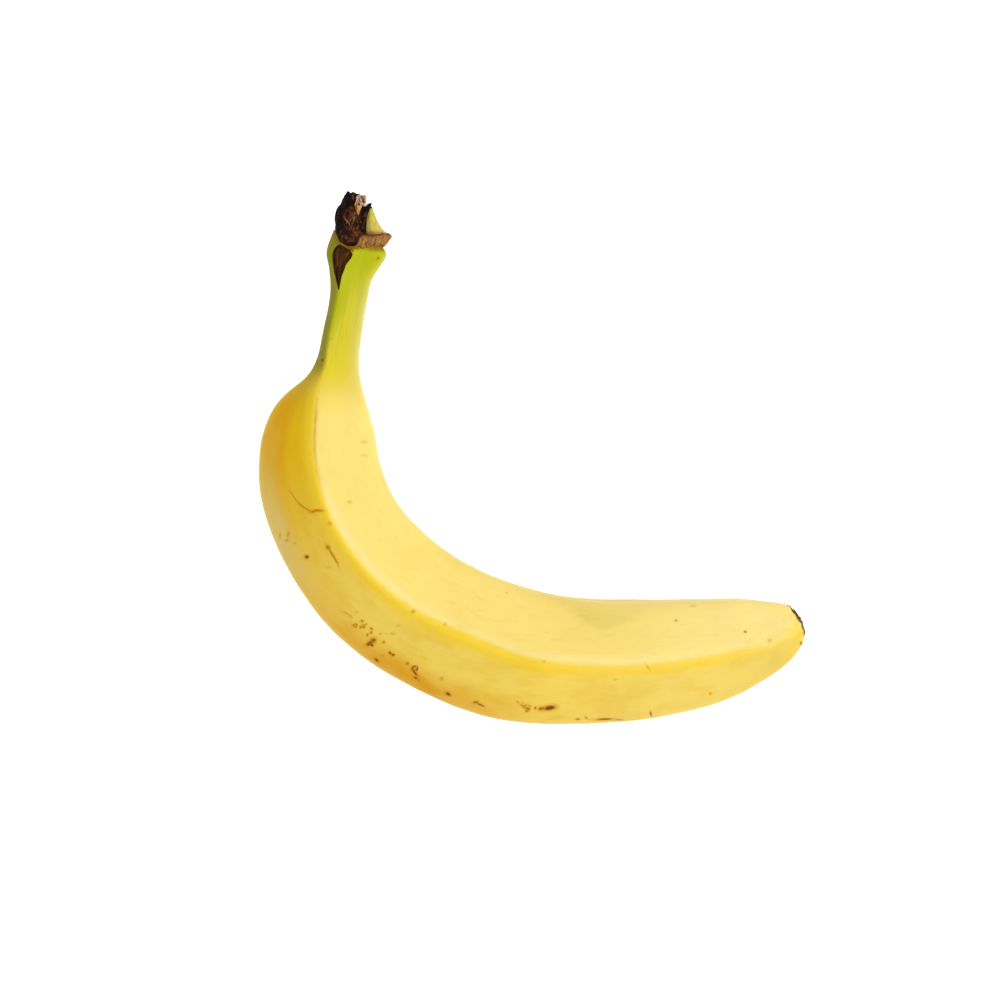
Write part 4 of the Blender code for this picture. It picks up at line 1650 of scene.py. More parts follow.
STEM_MIDDLE = 16.6


def level_grid(levels: Sequence[Level], rows: int, columns: int) -> tuple[Array, Array, Array]:
    """Return a smooth level-by-level grid of a torn piece.

    The levels are joined by a cubic spline over the height, and each ring is an
    ellipse between the left and right edges and as deep as the level says.

    Args:
        levels: The piece's levels from low to high.
        rows: How many rings.
        columns: Points round each ring.

    Returns:
        The points in millimetres, each point's angle, and its share of the height.
    """
    table = np.array([level.row() for level in levels])
    share = np.linspace(0.0, 1.0, rows)
    heights = table[0, 0] + (table[-1, 0] - table[0, 0]) * share
    read = spline(table[:, 0], table, heights)
    angle = np.linspace(0.0, 2.0 * math.pi, columns, endpoint=False)[None, :]
    up, left, right, deep, forward = (column[:, None] for column in read.T)
    x = (left + right) / 2.0 + (right - left) / 2.0 * np.cos(angle)
    z = STEM_MIDDLE + forward + deep * np.sin(angle)
    y = up + 0.0 * angle
    angles = np.broadcast_to(angle, x.shape)
    return np.stack((x, y, z), axis=-1), angles, np.repeat(share[:, None], columns, axis=1)


def swelled(points: Array, factor: Array) -> Array:
    """Grow level rings about their middles in x and z.

    Args:
        points: The rings' points.
        factor: How much each point's distance from its ring's middle grows.

    Returns:
        The grown rings, at the heights they had.
    """
    middle = points.mean(axis=1, keepdims=True)
    grown = middle + (points - middle) * factor[..., None]
    grown[..., 1] = points[..., 1]
    return grown


def around(angles: Array, share: Array, radius: float, height: float) -> Array:
    """Return spots on a cylinder, where noise closes round the ring."""
    return np.stack((np.cos(angles) * radius, np.sin(angles) * radius, share * height), axis=-1)


# The fibres sway together by a size, rate and start over the height, and each wave has a
# size, a count round the ring, a rise over the height, a start and a share of the sway
FIBRE_SWAY = (0.5, 5.0, 1.0)
FIBRE_WAVES = (
    (0.5, 5.0, 0.0, 0.7, 1.0),
    (0.4, 9.0, 0.0, 0.0, -1.0),
    (0.4, 14.0, 3.0, 2.0, 0.0),
)


def fibre_swell(angles: Array, share: Array, size: float) -> Array:
    """Work out the swelling of upright fibres that wander as they rise, from sine waves.

    Args:
        angles: Each point's angle in radians.
        share: Each point's share of the height.
        size: How far the fibres stand out, as a share of the radius.

    Returns:
        The factor for each point's radius.
    """
    sway_size, rate, sway_start = FIBRE_SWAY
    sway = sway_size * np.sin(rate * share + sway_start)
    swell = np.zeros(share.shape)
    for height, count, rise, start, lean in FIBRE_WAVES:
        swell += height * np.sin(count * angles + rise * share + start + lean * sway)
    return 1.0 + size * swell


@dataclass(frozen=True)
class WoodyFinish:
    """Dry woody tissue with upright fibres, between a pale and a dark brown."""

    pale: Colour = pigment(196, 144, 84)
    dark: Colour = pigment(120, 70, 30)
    edge: Colour = pigment(170, 120, 40)
    # Painted shade in the recessed grooves, also used for the darker bands at the top and the foot
    crease: Colour = pigment(46, 24, 14)
    fibre: Grain = Grain(2600.0, 4.0, 0.65, (1.0, 0.12, 1.0))
    patch: Grain = Grain(420.0)
    fibre_step: Pair = (0.35, 0.65)
    patch_step: Pair = (0.42, 0.72)
    patch_strength: float = 0.55
    patch_height: float = 0.5
    roughness: float = 0.72
    relief: float = 0.00025
    specular: float = 0.15

    def material(self) -> bpy.types.Material:
        """Mix the colours by stretched noise, with painted shade in the grooves and darker bands at
        the top and the foot.

        Returns:
            The material.
        """
        desk = Desk("crown_rim")
        place = desk.place()
        fibre = desk.noise(place, self.fibre)
        patch = desk.noise(place, self.patch)
        colour = desk.mix(fibre.step(*self.fibre_step), self.dark, self.pale)
        patched = patch.step(*self.patch_step) * self.patch_strength
        colour = desk.mix(patched, colour, self.edge)
        # Painted shade in the grooves, and the darker bands at the top and the foot
        colour = desk.mix(desk.attribute("dark"), colour, self.crease)
        height = fibre + self.patch_height * patch
        return desk.finish(colour, self.roughness, height, self.relief, self.specular)


@dataclass
class CrownRim:
    """The brown woody rim where the crown was cut."""

    finish: WoodyFinish
    levels: tuple[Level, ...] = (
        Level(57.9, -52, -43.4, 4.6, 0.4),
        Level(58.6, -53.4, -41.4, 5.3, 0.4),
        Level(59.8, -54, -40.1, 5.75, 0.3),
        Level(61.2, -54, -39.6, 5.7, 0.2),
        Level(62, -53.6, -40.6, 4.9, 0),
    )
    rows: int = 44
    columns: int = 420
    swell: float = 0.03
    spots: Pair = (9, 0.8)
    grooves: tuple[Rough, ...] = (Rough(0.035, 1.0, 21), Rough(0.022, 2.3, 22))
    turned_up: Triple = (1, -47, 7)
    wave: Triple = (0.12, 7, 4)
    wander: Rough = Rough(0.22, 0.7, 23)
    top_dark: Triple = (0.75, 1, 0.16)
    foot_dark: Triple = (0.5, 0, 0.12)
    groove_shade: Triple = (0.2, 0.015, -0.03)

    def build(self) -> list[Piece]:
        """Make the rim: grooved by noise round the ring, its right end turned up.

        Returns:
            The rim.
        """
        points, angles, share = level_grid(self.levels, self.rows, self.columns)
        turn = around(angles, share, *self.spots)
        grooves = sum(groove.on(turn) for groove in self.grooves)
        points = swelled(points, fibre_swell(angles, share, self.swell) + grooves)
        height, start, length = self.turned_up
        lift = height * np.clip((points[..., 0] - start) / length, 0.0, 1.0) ** 2
        size, count, rise = self.wave
        points[..., 1] += lift + size * np.sin(count * angles + rise * share)
        points[..., 1] += self.wander.on(turn) * (1.0 - 2.0 * share)
        dark = sum(most * bell(share, *place) for most, *place in (self.top_dark, self.foot_dark))
        # Painted shade in the recessed grooves, added to the darker bands at the top and the foot
        most, *depth = self.groove_shade
        dark = np.clip(dark + most * smoothstep(*depth, grooves), 0.0, 1.0)
        return [grid_object("crown_rim", points, {"dark": dark}, self.finish.material())]


@dataclass(frozen=True)
class WedgeFinish:
    """Green-yellow skin left on the crown, brown at its foot, black at its tip and black as painted
    shade along its left side.
    """

    green: Colour = pigment(192, 182, 66)
    yellow: Colour = pigment(220, 198, 104)
    foot: Colour = pigment(190, 124, 60)
    black: Colour = pigment(26, 22, 14)
    fibre: Grain = Grain(1500.0, stretch=(1.0, 0.15, 1.0))
    fibre_step: Pair = (0.35, 0.65)
    foot_ragged: float = 0.5
    foot_step: Pair = (0.25, 0.8)
    tip_ragged: float = 0.3
    tip_step: Pair = (0.3, 0.7)
    roughness: float = 0.55
    relief: float = 0.00012
    specular: float = 0.1

    def material(self) -> bpy.types.Material:
        """Mix the colours by stretched noise, with ragged edges at the foot and the tip.

        Returns:
            The material.
        """
        desk = Desk("crown_wedge")
        fibre = desk.noise(desk.place(), self.fibre)
        colour = desk.mix(fibre.step(*self.fibre_step), self.green, self.yellow)
        foot = desk.attribute("foot") + self.foot_ragged * (fibre - 0.5)
        colour = desk.mix(foot.step(*self.foot_step), colour, self.foot)
        # The tip's black also covers the left side, as painted shade
        tip = desk.attribute("tip") + self.tip_ragged * (fibre - 0.5)
        colour = desk.mix(tip.step(*self.tip_step), colour, self.black)
        return desk.finish(colour, self.roughness, fibre, self.relief, self.specular)


@dataclass
class CrownWedge:
    """The green wedge of skin that stands on the rim."""

    finish: WedgeFinish
    levels: tuple[Level, ...] = (
        Level(60.4, -47.6, -40.6, 4.6, -0.6),
        Level(62.2, -47.6, -39.8, 4.2, -0.6),
        Level(63.6, -47.5, -41.4, 3.6, -0.5),
        Level(65, -47.3, -42.5, 3.1, -0.4),
        Level(67.4, -46.8, -43.7, 2.2, -0.2),
        Level(69.4, -45.9, -44.4, 1.3, 0),
        Level(70.3, -45.3, -44.8, 0.6, 0.1),
    )
    rows: int = 90
    columns: int = 120
    swell: float = 0.022
    uneven: Rough = Rough(0.02, 0.625, 31, 3)
    # Painted shade: the left side is blackened along with the tip
    left: Pair = (0.8, 1)
    left_shade_strength: float = 0.9
    tip: Pair = (0.9, 1)
    foot: Pair = (0.45, 0.1)

    def build(self) -> list[Piece]:
        """Make the wedge, lightly fluted and uneven.

        Returns:
            The wedge.
        """
        points, angles, share = level_grid(self.levels, self.rows, self.columns)
        factor = fibre_swell(angles, share, self.swell) + self.uneven.on(points)
        points = swelled(points, factor)
        # Painted shade on the left side, joined to the black tip
        left = self.left_shade_strength * smoothstep(*self.left, -np.cos(angles))
        tip = np.clip(smoothstep(*self.tip, share) + left, 0.0, 1.0)
        foot = smoothstep(*self.foot, share)
        return [grid_object("crown_wedge", points, {"foot": foot, "tip": tip}, self.finish.material())]


@dataclass(frozen=True)
class TornFinish:
    """Torn stem tissue: black dried walls, red-brown flesh, gold and frayed beige at the top."""

    wall: Colour = pigment(26, 18, 0)
    wall_light: Colour = pigment(66, 52, 36)
    flesh: Colour = pigment(66, 34, 10)
    flesh_light: Colour = pigment(136, 84, 58)
    hollow: Colour = pigment(50, 24, 8)
    gold: Colour = pigment(236, 186, 104)
    gold_dark: Colour = pigment(156, 98, 34)
    frayed: Colour = pigment(176, 148, 112)
    frayed_pink: Colour = pigment(246, 214, 194)
    frayed_dark: Colour = pigment(96, 48, 28)
    fibre: Grain = Grain(1900.0, 5.0, 0.65, (1.0, 0.3, 1.0))
    patch: Grain = Grain(700.0)
    wall_step: Pair = (0.52, 0.78)
    flesh_step: Pair = (0.45, 0.7)
    hollow_step: Pair = (0.46, 0.6)
    scoop_ragged: float = 0.4
    scoop_step: Pair = (0.3, 0.6)
    pink_step: Pair = (0.42, 0.58)
    dark_step: Pair = (0.5, 0.62)
    edge_ragged: float = 0.7
    edge_step: Pair = (0.4, 0.6)
    gold_ragged: float = 0.3
    gold_fibre: Pair = (0.9, 0.4)
    gold_step: Pair = (0.1, 0.9)
    patch_height: float = 0.6
    roughness: float = 0.8
    relief: float = 0.0004
    specular: float = 0.08

    def material(self) -> bpy.types.Material:
        """Mix walls, flesh, gold and frayed tissue by noise inside ragged edges.

        Returns:
            The material.
        """
        desk = Desk("torn_core")
        place = desk.place()
        fibre = desk.noise(place, self.fibre)
        patch = desk.noise(place, self.patch)
        wall = desk.mix(fibre.step(*self.wall_step), self.wall, self.wall_light)
        flesh = desk.mix(fibre.step(*self.flesh_step), self.flesh, self.flesh_light)
        flesh = desk.mix(patch.step(*self.hollow_step), flesh, self.hollow)
        scoop = desk.attribute("scoop") + self.scoop_ragged * (patch - 0.5)
        colour = desk.mix(scoop.step(*self.scoop_step), wall, flesh)
        frayed = desk.mix(patch.step(*self.pink_step), self.frayed, self.frayed_pink)
        frayed = desk.mix(fibre.step(*self.dark_step), frayed, self.frayed_dark)
        edge = self.edge_ragged * (patch - 0.5)
        tips = desk.attribute("frayed") + edge
        colour = desk.mix(tips.step(*self.edge_step), colour, frayed)
        strength, middle = self.gold_fibre
        tone = desk.attribute("gold_shade") + strength * (fibre - middle)
        gold = desk.mix(tone.step(*self.gold_step), self.gold, self.gold_dark)
        strip = desk.attribute("gold") + self.gold_ragged * edge
        colour = desk.mix(strip.step(*self.edge_step), colour, gold)
        height = fibre + self.patch_height * patch
        return desk.finish(colour, self.roughness, height, self.relief, self.specular)


@dataclass(frozen=True)
class StrandFinish:
    """Loose torn fibres, from pinkish beige at their tips to red-brown at their roots."""

    pale: Colour = pigment(250, 222, 204)
    pink: Colour = pigment(184, 140, 104)
    root: Colour = pigment(70, 34, 16)
    fibre: Grain = Grain(3000.0, stretch=(1.0, 0.3, 1.0))
    pink_step: Pair = (0, 0.5)
    pale_ragged: float = 0.4
    pale_step: Pair = (0.5, 1)
    roughness: float = 0.8
    relief: float = 0.0001
    specular: float = 0.15

    def material(self) -> bpy.types.Material:
        """Mix the colours by each strand's tone, roughened by stretched noise.

        Returns:
            The material.
        """
        desk = Desk("torn_strands")
        tone = desk.attribute("tone")
        fibre = desk.noise(desk.place(), self.fibre)
        colour = desk.mix(tone.step(*self.pink_step), self.root, self.pink)
        ragged = tone + self.pale_ragged * (fibre - 0.5)
        colour = desk.mix(ragged.step(*self.pale_step), colour, self.pale)
        return desk.finish(colour, self.roughness, fibre, self.relief, self.specular)


@dataclass
class TornStump:
    """The dark torn stump of the stem with its scooped face, teeth, arm and strands."""

    finish: TornFinish
    strand_finish: StrandFinish
    levels: tuple[Level, ...] = (
        Level(58.8, -51.2, -49.4, 1.2, 5.4),
        Level(59.3, -52.3, -48.5, 2.3, 4.9),
        Level(60.2, -53.5, -47.6, 3.3, 4.3),
        Level(61.6, -54.2, -46.9, 4.2, 3.5),
        Level(63.4, -54.8, -46.6, 4.9, 2.6),
        Level(65.4, -54.9, -46.5, 5.3, 1.8),
        Level(68.6, -54.8, -46.7, 5.1, 1.1),
        Level(71.2, -54.2, -46.6, 4.6, 0.7),
        Level(73.2, -53.2, -46.6, 3.9, 0.5),
    )
    arm_levels: tuple[Level, ...] = (
        Level(61, -47.3, -46.4, 0.9, 3.4),
        Level(62.4, -47.8, -46.5, 1.3, 3.1),
        Level(64.6, -48, -46.5, 1.5, 2.7),
        Level(66.4, -47.8, -46.3, 1.6, 2.2),
        Level(68.2, -47.4, -45.9, 1.5, 1.7),
        Level(69.6, -47.1, -45.4, 1.2, 1.2),
        Level(70.6, -46.4, -45, 0.9, 0.9),
        Level(71.2, -45.8, -44.9, 0.5, 0.8),
    )
    top_edge: tuple[Pair, ...] = (
        (-53.6, 71.2),
        (-52.8, 72.7),
        (-52.2, 73.4),
        (-51.5, 74.3),
        (-51, 74.3),
        (-50.6, 73.7),
        (-49.9, 73.9),
        (-49.3, 73.9),
        (-48.9, 73.5),
        (-48.2, 73.6),
        (-47.5, 73.2),
        (-46.9, 73.3),
        (-46.4, 72.7),
    )
    rows: int = 170
    cup_rows: int = 40
    columns: int = 320
    swell: float = 0.06
    spots: Pair = (6, 0.4)
    teeth: tuple[Rough, ...] = (Rough(0.22, 1.5, 41), Rough(0.16, 4.0, 42))
    back: Pair = (0.2, -0.6)
    back_drop: float = 0.8
    back_teeth: Rough = Rough(0.7, 1.8, 43)
    scoop_place: Pair = (-50, 66.6)
    scoop_size: Pair = (2.9, 4)
    scoop_depth: float = 3.0
    ragged: Rough = Rough(0.16, (1.1, 0.4, 1.1), 51, 4)
    torn: Rough = Rough(0.55, (0.9, 0.35, 0.9), 61, 4)
    cup_reach: float = 0.97
    cup_depth: float = 2.2
    cup_scoop: float = 0.75
    cup_torn: Rough = Rough(0.5, 0.9, 71, 3)
    gold_x: float = -48.5
    gold_half: Triple = (1.05, 67.6, 2.6)
    gold_edge: Pair = (0.3, -0.3)
    gold: Layer = (1.0, Rise(ALONG, 71, 70.4), Rise(LEVEL, 15.5, 18))
    gold_shade: Layer = (1.0, Rise(ACROSS, -48.2, -49.3), Rise(ALONG, 67.6, 69.5))
    frayed_start: Triple = (-49.3, 70.5, 0.22)
    frayed_edge: Pair = (-0.6, 0.6)
    frayed: Layer = (1.0, Rise(ALONG, 69.9, 70.7))
    notch: Layer = (0.6, Hill(ACROSS, -49.9, 0.7), Rise(ALONG, 70.8, 71.8))
    lower: Layer = (
        0.8,
        Hill(ALONG, 61.6, 2.6),
        Rise(LEVEL, 20, 22.5),
        Rise(ACROSS, -54.4, -52.6),
    )
    arm_rows: int = 80
    arm_columns: int = 64
    arm_swell: float = 0.05
    arm_rough: Rough = Rough(0.14, (1.4, 0.6, 1.4), 81, 3)
    arm_scoop: float = 0.5
    arm_front: Pair = (0, 0.7)
    arm_top: Pair = (1, 0.7)
    pale_strands: tuple[tuple[Triple, ...], ...] = (
        ((-50, 65.7, 4.4), (-49.6, 66.4, 5), (-49.3, 67.2, 4.7)),
        ((-52.3, 66.9, 4.3), (-51.7, 65.9, 5), (-51.2, 65.2, 4.6)),
        ((-51.9, 65.1, 4.4), (-51.5, 65.6, 5), (-51.2, 66.3, 4.6)),
        ((-50.9, 64.6, 4.5), (-50.3, 64, 5.2), (-49.8, 63.4, 4.8)),
    )
    pale_thick: float = 0.26
    pale_tone: float = 0.5
    tall_count: int = 56
    tall_per_row: int = 28
    tall_x: Pair = (-49.2, -46.7)
    tall_y: Pair = (70.2, 72.4)
    tall_forward: Pair = (2.6, 4.7)
    tall_tip: tuple[Pair, Pair, Pair] = ((-0.9, 0.9), (0.4, 1.5), (-0.5, 0.8))
    tall_top: Pair = (73.6, 73.3)
    tall_bend: Pair = (-0.5, 0.5)
    tall_tones: tuple[float, ...] = (0.0, 0.2, 0.55, 0.8, 1.0)
    tall_chances: tuple[float, ...] = (0.16, 0.14, 0.2, 0.22, 0.28)
    tall_thick: Pair = (0.3, 0.7)
    fine_count: int = 30
    fine_x: Pair = (-52.6, -48.4)
    fine_y: Pair = (62.4, 67.8)
    fine_forward: Pair = (3.2, 4.5)
    fine_tip: tuple[Pair, Pair, Pair] = ((-1.3, 1.3), (0.4, 1.5), (-0.2, 0.6))
    fine_bend: Pair = (-0.4, 0.4)
    fine_lift: Pair = (0.2, 0.6)
    fine_thick: Pair = (0.18, 0.4)
    fine_tone: Pair = (0, 0.4)
    strand_rows: int = 9
    strand_sides: int = 7
    taper: Pair = (0.9, 2.2)
    flatness: float = 0.6
    flat_side: Triple = (0.2, 0.1, 1)
    root_tone: float = 0.35
    seed: int = 31

    def stump(self) -> Piece:
        """Make the stump.

        Fluted rings rise to a torn top, which follows the top edge over x, lower at
        the back, and rings inside run down to a torn cup. The face towards the camera is
        scooped by a flat-bottomed bell, and noise roughens everything.

        Returns:
            The stump.
        """
        points, angles, share = level_grid(self.levels, self.rows, self.columns)
        points = swelled(points, fibre_swell(angles, share, self.swell))
        edge = np.array(self.top_edge)
        turn = around(angles, share, *self.spots)
        teeth = np.interp(points[..., 0], edge[:, 0], edge[:, 1]) - self.levels[-1].up
        teeth += sum(tooth.on(turn) for tooth in self.teeth)
        back = smoothstep(*self.back, np.sin(angles))
        teeth -= back * (self.back_drop + self.back_teeth.on(turn))
        points[..., 1] += teeth * share**3
        offset = (points[..., 0:2] - self.scoop_place) / self.scoop_size
        scooped = np.exp(-(np.sum(offset**2, axis=-1) ** 2))
        scooped *= np.clip(np.sin(angles) * 2.0, 0.0, 1.0)
        points[..., 2] -= self.scoop_depth * scooped
        ragged = self.ragged.on(points)
        points[..., 2] += self.torn.on(points) * scooped + ragged * np.sin(angles)
        points[..., 0] += ragged * np.cos(angles)
        cup, cup_scoop = self.cup(points[-1], scooped[-1])
        points = np.concatenate((points, cup))
        values = self.tints(points, np.concatenate((scooped, cup_scoop)))
        return grid_object("torn_core", points, values, self.finish.material())

    def cup(self, top: Array, scooped: Array) -> tuple[Array, Array]:
        """Make the rings that run down inside the toothed top, roughened by noise.

        Args:
            top: The stump's highest ring.
            scooped: How scooped each of its points is.

        Returns:
            The rings' points and how scooped each is.
        """
        share = np.linspace(0.0, 1.0, self.cup_rows + 1)[1:, None, None]
        middle = top.mean(axis=0)
        rings = top[None] + (middle - top)[None] * share * self.cup_reach
        rings[..., 1] -= self.cup_depth * np.sqrt(share[..., 0]) + self.cup_torn.on(rings)
        inside = np.maximum(scooped[None, :], self.cup_scoop * share[..., 0])
        return rings, inside

    def tints(self, points: Array, scooped: Array) -> dict[str, Array]:
        """Lay out the tints of the torn tissue as S-curves and bells over the points.

        Args:
            points: The stump's points in millimetres.
            scooped: How scooped each of them is.

        Returns:
            One array for each attribute that the material reads, by its name.
        """
        places = dict(zip((ACROSS, ALONG, LEVEL), np.moveaxis(points, -1, 0)))
        widest, start, length = self.gold_half
        half = widest * np.clip((places[ALONG] - start) / length, 0.0, 1.0)
        gold = smoothstep(*self.gold_edge, np.abs(places[ACROSS] - self.gold_x) - half)
        place, height, slant = self.frayed_start
        past = places[ACROSS] - place - slant * (places[ALONG] - height)
        inner = np.maximum(layered(self.notch, places), layered(self.lower, places))
        return {
            "scoop": np.maximum(scooped, inner),
            "gold": gold * layered(self.gold, places),
            "gold_shade": layered(self.gold_shade, places),
            "frayed": smoothstep(*self.frayed_edge, past) * layered(self.frayed, places),
        }

    def strand_routes(self) -> list[tuple[Array, float, float]]:
        """Draw the strands at random and add the pale ones.

        The tall ones stand at the top right and the fine ones lie in the scoop.

        Returns:
            Each strand's foot, waist and tip, its width and its tone.
        """
        draw = np.random.default_rng(self.seed)
        routes = []
        for index in range(self.tall_count):
            share = (index % self.tall_per_row) / (self.tall_per_row - 1.0)
            forward = STEM_MIDDLE + draw.uniform(*self.tall_forward)
            foot = np.array((blended(self.tall_x, share), draw.uniform(*self.tall_y), forward))
            tip = foot + tuple(draw.uniform(*limits) for limits in self.tall_tip)
            tip[1] = min(tip[1], blended(self.tall_top, share))
            waist = (foot + tip) / 2.0 + draw.uniform(*self.tall_bend, 3)
            tone = draw.choice(self.tall_tones, p=self.tall_chances)
            routes.append((np.stack((foot, waist, tip)), draw.uniform(*self.tall_thick), tone))
        for index in range(self.fine_count):
            forward = STEM_MIDDLE + draw.uniform(*self.fine_forward)
            foot = np.array((draw.uniform(*self.fine_x), draw.uniform(*self.fine_y), forward))
            tip = foot + tuple(draw.uniform(*limits) for limits in self.fine_tip)
            bend = (*draw.uniform(*self.fine_bend, 2), draw.uniform(*self.fine_lift))
            route = np.stack((foot, (foot + tip) / 2.0 + bend, tip))
            routes.append((route, draw.uniform(*self.fine_thick), draw.uniform(*self.fine_tone)))
        for route in self.pale_strands:
            line = np.array([(x, y, STEM_MIDDLE + forward) for x, y, forward in route])
            routes.append((line, self.pale_thick, self.pale_tone))
        return routes

    def strands(self) -> Piece:
        """Make every strand as a tapering tube along a curve through three points.

        The curve is the quadratic one that starts at the foot, leans to the waist and
        ends at the tip, and the tube's width falls to a tenth at the tip.

        Returns:
            The strands as one piece.
        """
        sides = self.strand_sides
        share = np.linspace(0.0, 1.0, self.strand_rows)[:, None]
        turn = np.linspace(0.0, 2.0 * math.pi, sides, endpoint=False)
        thinned, power = self.taper
        taper = (1.0 - thinned * share**power)[:, :, None]
        shading = blended((self.root_tone, 1.0), share[:, 0])
        points, loops, sizes, tones = [], [], [], []
        base = 0
        for (foot, waist, tip), thick, tone in self.strand_routes():
            line = (1.0 - share) ** 2 * foot + 2.0 * share * (1.0 - share) * waist + share**2 * tip
            axis = (tip - foot) / np.linalg.norm(tip - foot)
            side = np.cross(axis, self.flat_side)
            side /= np.linalg.norm(side)
            other = self.flatness * np.cross(axis, side)
            outline = np.outer(np.cos(turn), side) + np.outer(np.sin(turn), other)
            tube = line[:, None, :] + thick / 2.0 * taper * outline[None]
            index = base + np.arange(len(tube) * sides).reshape(-1, sides)
            after = np.roll(index, -1, axis=1)
            quads = np.stack((index[:-1], index[1:], after[1:], after[:-1]), axis=-1)
            points.append(tube.reshape(-1, 3))
            loops += [quads.ravel(), index[0], index[-1][::-1]]
            sizes += [np.full(quads.size // 4, 4), np.array([sides, sides])]
            tones.append(np.repeat(np.clip(tone * shading, 0.0, 1.0), sides))
            base += index.size
        return mesh_object(
            "torn_strands",
            np.concatenate(points),
            np.concatenate(loops),
            np.concatenate(sizes),
            {"tone": np.concatenate(tones)[:, None]},
            self.strand_finish.material(),
        )

    def arm(self) -> Piece:
        """Make the black arm between the stump and the wedge, roughened by noise.

        Returns:
            The arm.
        """
        points, angles, share = level_grid(self.arm_levels, self.arm_rows, self.arm_columns)
        points = swelled(points, fibre_swell(angles, share, self.arm_swell))
        points += self.arm_rough.on(points)[..., None]
        face = self.arm_scoop * smoothstep(*self.arm_front, np.sin(angles))
        values = {"scoop": face * smoothstep(*self.arm_top, share)}
        values |= {name: np.zeros(share.shape) for name in ("gold", "gold_shade", "frayed")}
        return grid_object("torn_arm", points, values, bpy.data.materials["torn_core"])

    def build(self) -> list[Piece]:
        """Make the stump, its arm and its strands."""
        return [self.stump(), self.arm(), self.strands()]


# Blossom end
@dataclass(frozen=True)
class ScarFinish:
    """The dried blossom scar: near black, greyer on its high spots."""

    black: Colour = pigment(50, 37, 22)
    brown: Colour = pigment(110, 82, 46)
    grey: Colour = pigment(142, 124, 92)
    grain: Grain = Grain(1500.0, 5.0, 0.65)
    brown_step: Pair = (0.4, 0.62)
    grey_step: Pair = (0.6, 0.78)
    roughness: float = 0.8
    relief: float = 0.0003
    specular: float = 0.15

    def material(self) -> bpy.types.Material:
        """Mix the colours by noise, brown at the edge.

        Returns:
            The material.
        """
        desk = Desk("blossom_scar")
        rough = desk.noise(desk.place(), self.grain)
        colour = desk.mix(rough.step(*self.brown_step), self.black, self.brown)
        colour = desk.mix(rough.step(*self.grey_step), colour, self.grey)
        colour = desk.mix(desk.attribute("edge"), colour, self.brown)
        return desk.finish(colour, self.roughness, rough, self.relief, self.specular)


@dataclass
class BlossomScar:
    """The rough low dome that closes the blossom end."""

    finish: ScarFinish
    profile: tuple[tuple[float, float], ...] = (
        (1.02, -0.25),
        (1, 0.05),
        (0.94, 0.2),
        (0.84, 0.3),
        (0.66, 0.7),
        (0.42, 0.9),
        (0.3, 0.85),
        (0.16, 1.2),
        (0.03, 1.3),
    )
    rows: int = 90
    waves: tuple[Triple, ...] = ((0.10, 5.0, 9.0), (0.07, 11.0, 0.0))
    spots: float = 3.0
    rough: Rough = Rough(0.22, 1.6, 91, 4)
    rough_edge: Pair = (1.03, 0.9)
    brown_edge: Pair = (0.86, 1)

    def build(self, rim: Array) -> list[Piece]:
        """Make the scar from the skin's last ring.

        The profile gives the share of the rim's radius and the rise, joined by a
        spline. Two waves and noise roughen it and radial creases run to the middle.

        Args:
            rim: The last ring of the skin, in millimetres.

        Returns:
            The scar.
        """
        table = np.array(self.profile)
        at = np.linspace(0.0, 1.0, self.rows)
        read = spline(np.linspace(0.0, 1.0, len(table)), table, at)
        middle = rim.mean(axis=0)
        across = rim[0] - rim[len(rim) // 2]
        outward = np.array((-across[1], across[0], 0.0))
        outward *= (1.0 if outward[0] > 0.0 else -1.0) / np.linalg.norm(outward)
        turn = np.linspace(0.0, 2.0 * math.pi, len(rim), endpoint=False)[None, :]
        share, rise = read[:, 0:1], read[:, 1:2]
        flat = (np.cos(turn) * share, np.sin(turn) * share, 0.0 * turn * share)
        waves = sum(size * np.sin(count * turn + reach * share) for size, count, reach in self.waves)
        rough = waves * np.minimum(1.0, 2.0 * share)
        rough = rough + self.rough.on(self.spots * np.stack(flat, axis=-1))
        height = rise + rough * smoothstep(*self.rough_edge, share)
        points = middle + (rim - middle)[None] * share[..., None] + outward * height[..., None]
        edge = np.broadcast_to(smoothstep(*self.brown_edge, share), height.shape)
        return [grid_object("blossom_scar", points, {"edge": edge}, self.finish.material())]


# Studio
@dataclass(frozen=True)
class SoftBox:
    """A square soft light: its place, what it points at, its size and its power."""

    name: str
    place: Triple
    size: float
    power: float
    target: Triple = (0, -0.02, 0.02)

    def build(self) -> None:
        """Create the light."""
        data = bpy.data.lights.new(self.name, "AREA")
        data.shape = "SQUARE"
        data.size = self.size
        data.energy = self.power
        lamp = bpy.data.objects.new(self.name, data)
        lamp.location = self.place
        away = np.array(self.place) - np.array(self.target)
        away /= np.linalg.norm(away)
        lamp.rotation_euler = (math.acos(away[2]), 0.0, math.atan2(away[0], -away[1]))
        bpy.context.scene.collection.objects.link(lamp)


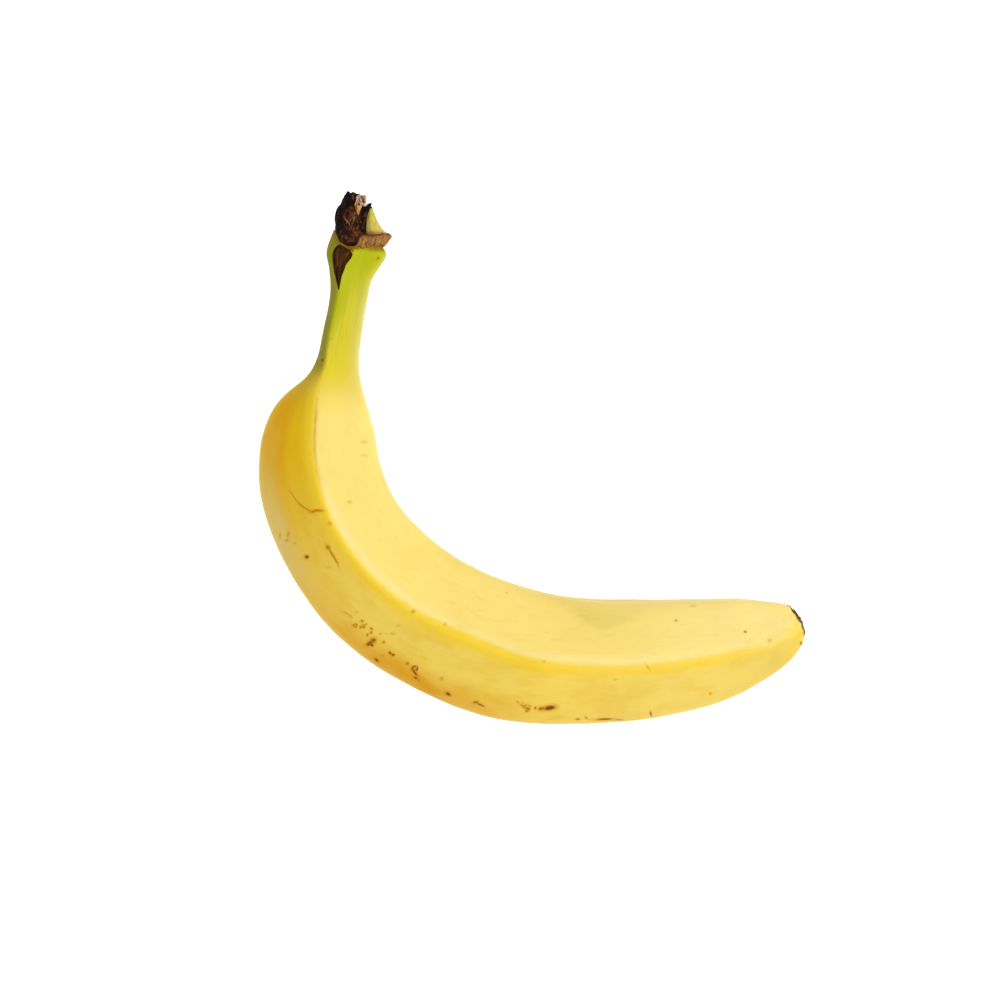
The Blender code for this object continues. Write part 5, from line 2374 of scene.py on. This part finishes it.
@dataclass(frozen=True)
class Studio:
    """A plain pale floor, soft lights and an even surround."""

    floor_size: float = 6.0
    floor_colour: Colour = (0.75, 0.75, 0.75)
    floor_roughness: float = 0.9
    floor_specular: float = 0.1
    floor_glow: float = 0.55
    surround: float = 0.86
    lean: float = 0.3
    boxes: tuple[SoftBox, ...] = (
        SoftBox("key", (0.75, -0.1, 0.95), 0.8, 4.6),
        SoftBox("top", (-0.05, 0.2, 1.35), 1.2, 3.6),
    )

    def build(self) -> None:
        """Create the floor, the lights and the surround."""
        signs = np.array([(-1.0, -1.0, 0.0), (1.0, -1.0, 0.0), (1.0, 1.0, 0.0), (-1.0, 1.0, 0.0)])
        corners = self.floor_size / 2.0 * signs
        desk = Desk("floor")
        desk.shader.inputs["Base Color"].default_value = (*self.floor_colour, 1.0)
        desk.shader.inputs["Roughness"].default_value = self.floor_roughness
        desk.shader.inputs["Specular IOR Level"].default_value = self.floor_specular
        desk.shader.inputs["Emission Color"].default_value = (1.0, 1.0, 1.0, 1.0)
        desk.shader.inputs["Emission Strength"].default_value = self.floor_glow
        corners = corners / MM
        floor = mesh_object("floor", corners, np.arange(4), np.array([4]), {}, desk.material)
        bpy.context.scene.world = self.world()
        bpy.context.scene.view_settings.view_transform = "Standard"
        for box in self.boxes:
            box.build()

    def world(self) -> bpy.types.World:
        """Make the surround: even light, stronger from the right than from the left.

        Returns:
            The world.
        """
        world = bpy.data.worlds.new("surround")
        world.use_nodes = True
        nodes, links = world.node_tree.nodes, world.node_tree.links
        place = nodes.new("ShaderNodeTexCoord")
        split = nodes.new("ShaderNodeSeparateXYZ")
        level = nodes.new("ShaderNodeMapRange")
        level.inputs["From Min"].default_value = -1.0
        level.inputs["To Min"].default_value = self.surround * (1.0 - self.lean)
        level.inputs["To Max"].default_value = self.surround * (1.0 + self.lean)
        back = nodes["Background"]
        back.inputs["Color"].default_value = (1.0, 1.0, 1.0, 1.0)
        links.new(place.outputs["Generated"], split.inputs[0])
        links.new(split.outputs["X"], level.inputs["Value"])
        links.new(level.outputs["Result"], back.inputs["Strength"])
        return world


def attach(pieces: Sequence[Piece]) -> None:
    """Tie pieces to the body, hide the imported part that they replace, and report them.

    Args:
        pieces: The pieces.
    """
    for piece in pieces:
        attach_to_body(piece, BODY)
        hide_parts(NODE)
        LOG.info("%s: %d points", piece.name, len(piece.data.vertices))


def main() -> None:
    """Build the view, the studio and every piece of the fruit."""
    logging.basicConfig(level=logging.INFO, format="%(message)s")
    view = View()
    view.build()
    Studio().build()
    peel = Peel(Section(), Leaf(), Dent(), PeelFinish(), SkinPattern())
    attach(peel.build(view))
    attach(CrownRim(WoodyFinish()).build())
    attach(CrownWedge(WedgeFinish()).build())
    attach(TornStump(TornFinish(), StrandFinish()).build())
    attach(BlossomScar(ScarFinish()).build(peel.points[-1]))


if __name__ == "__main__":
    main()
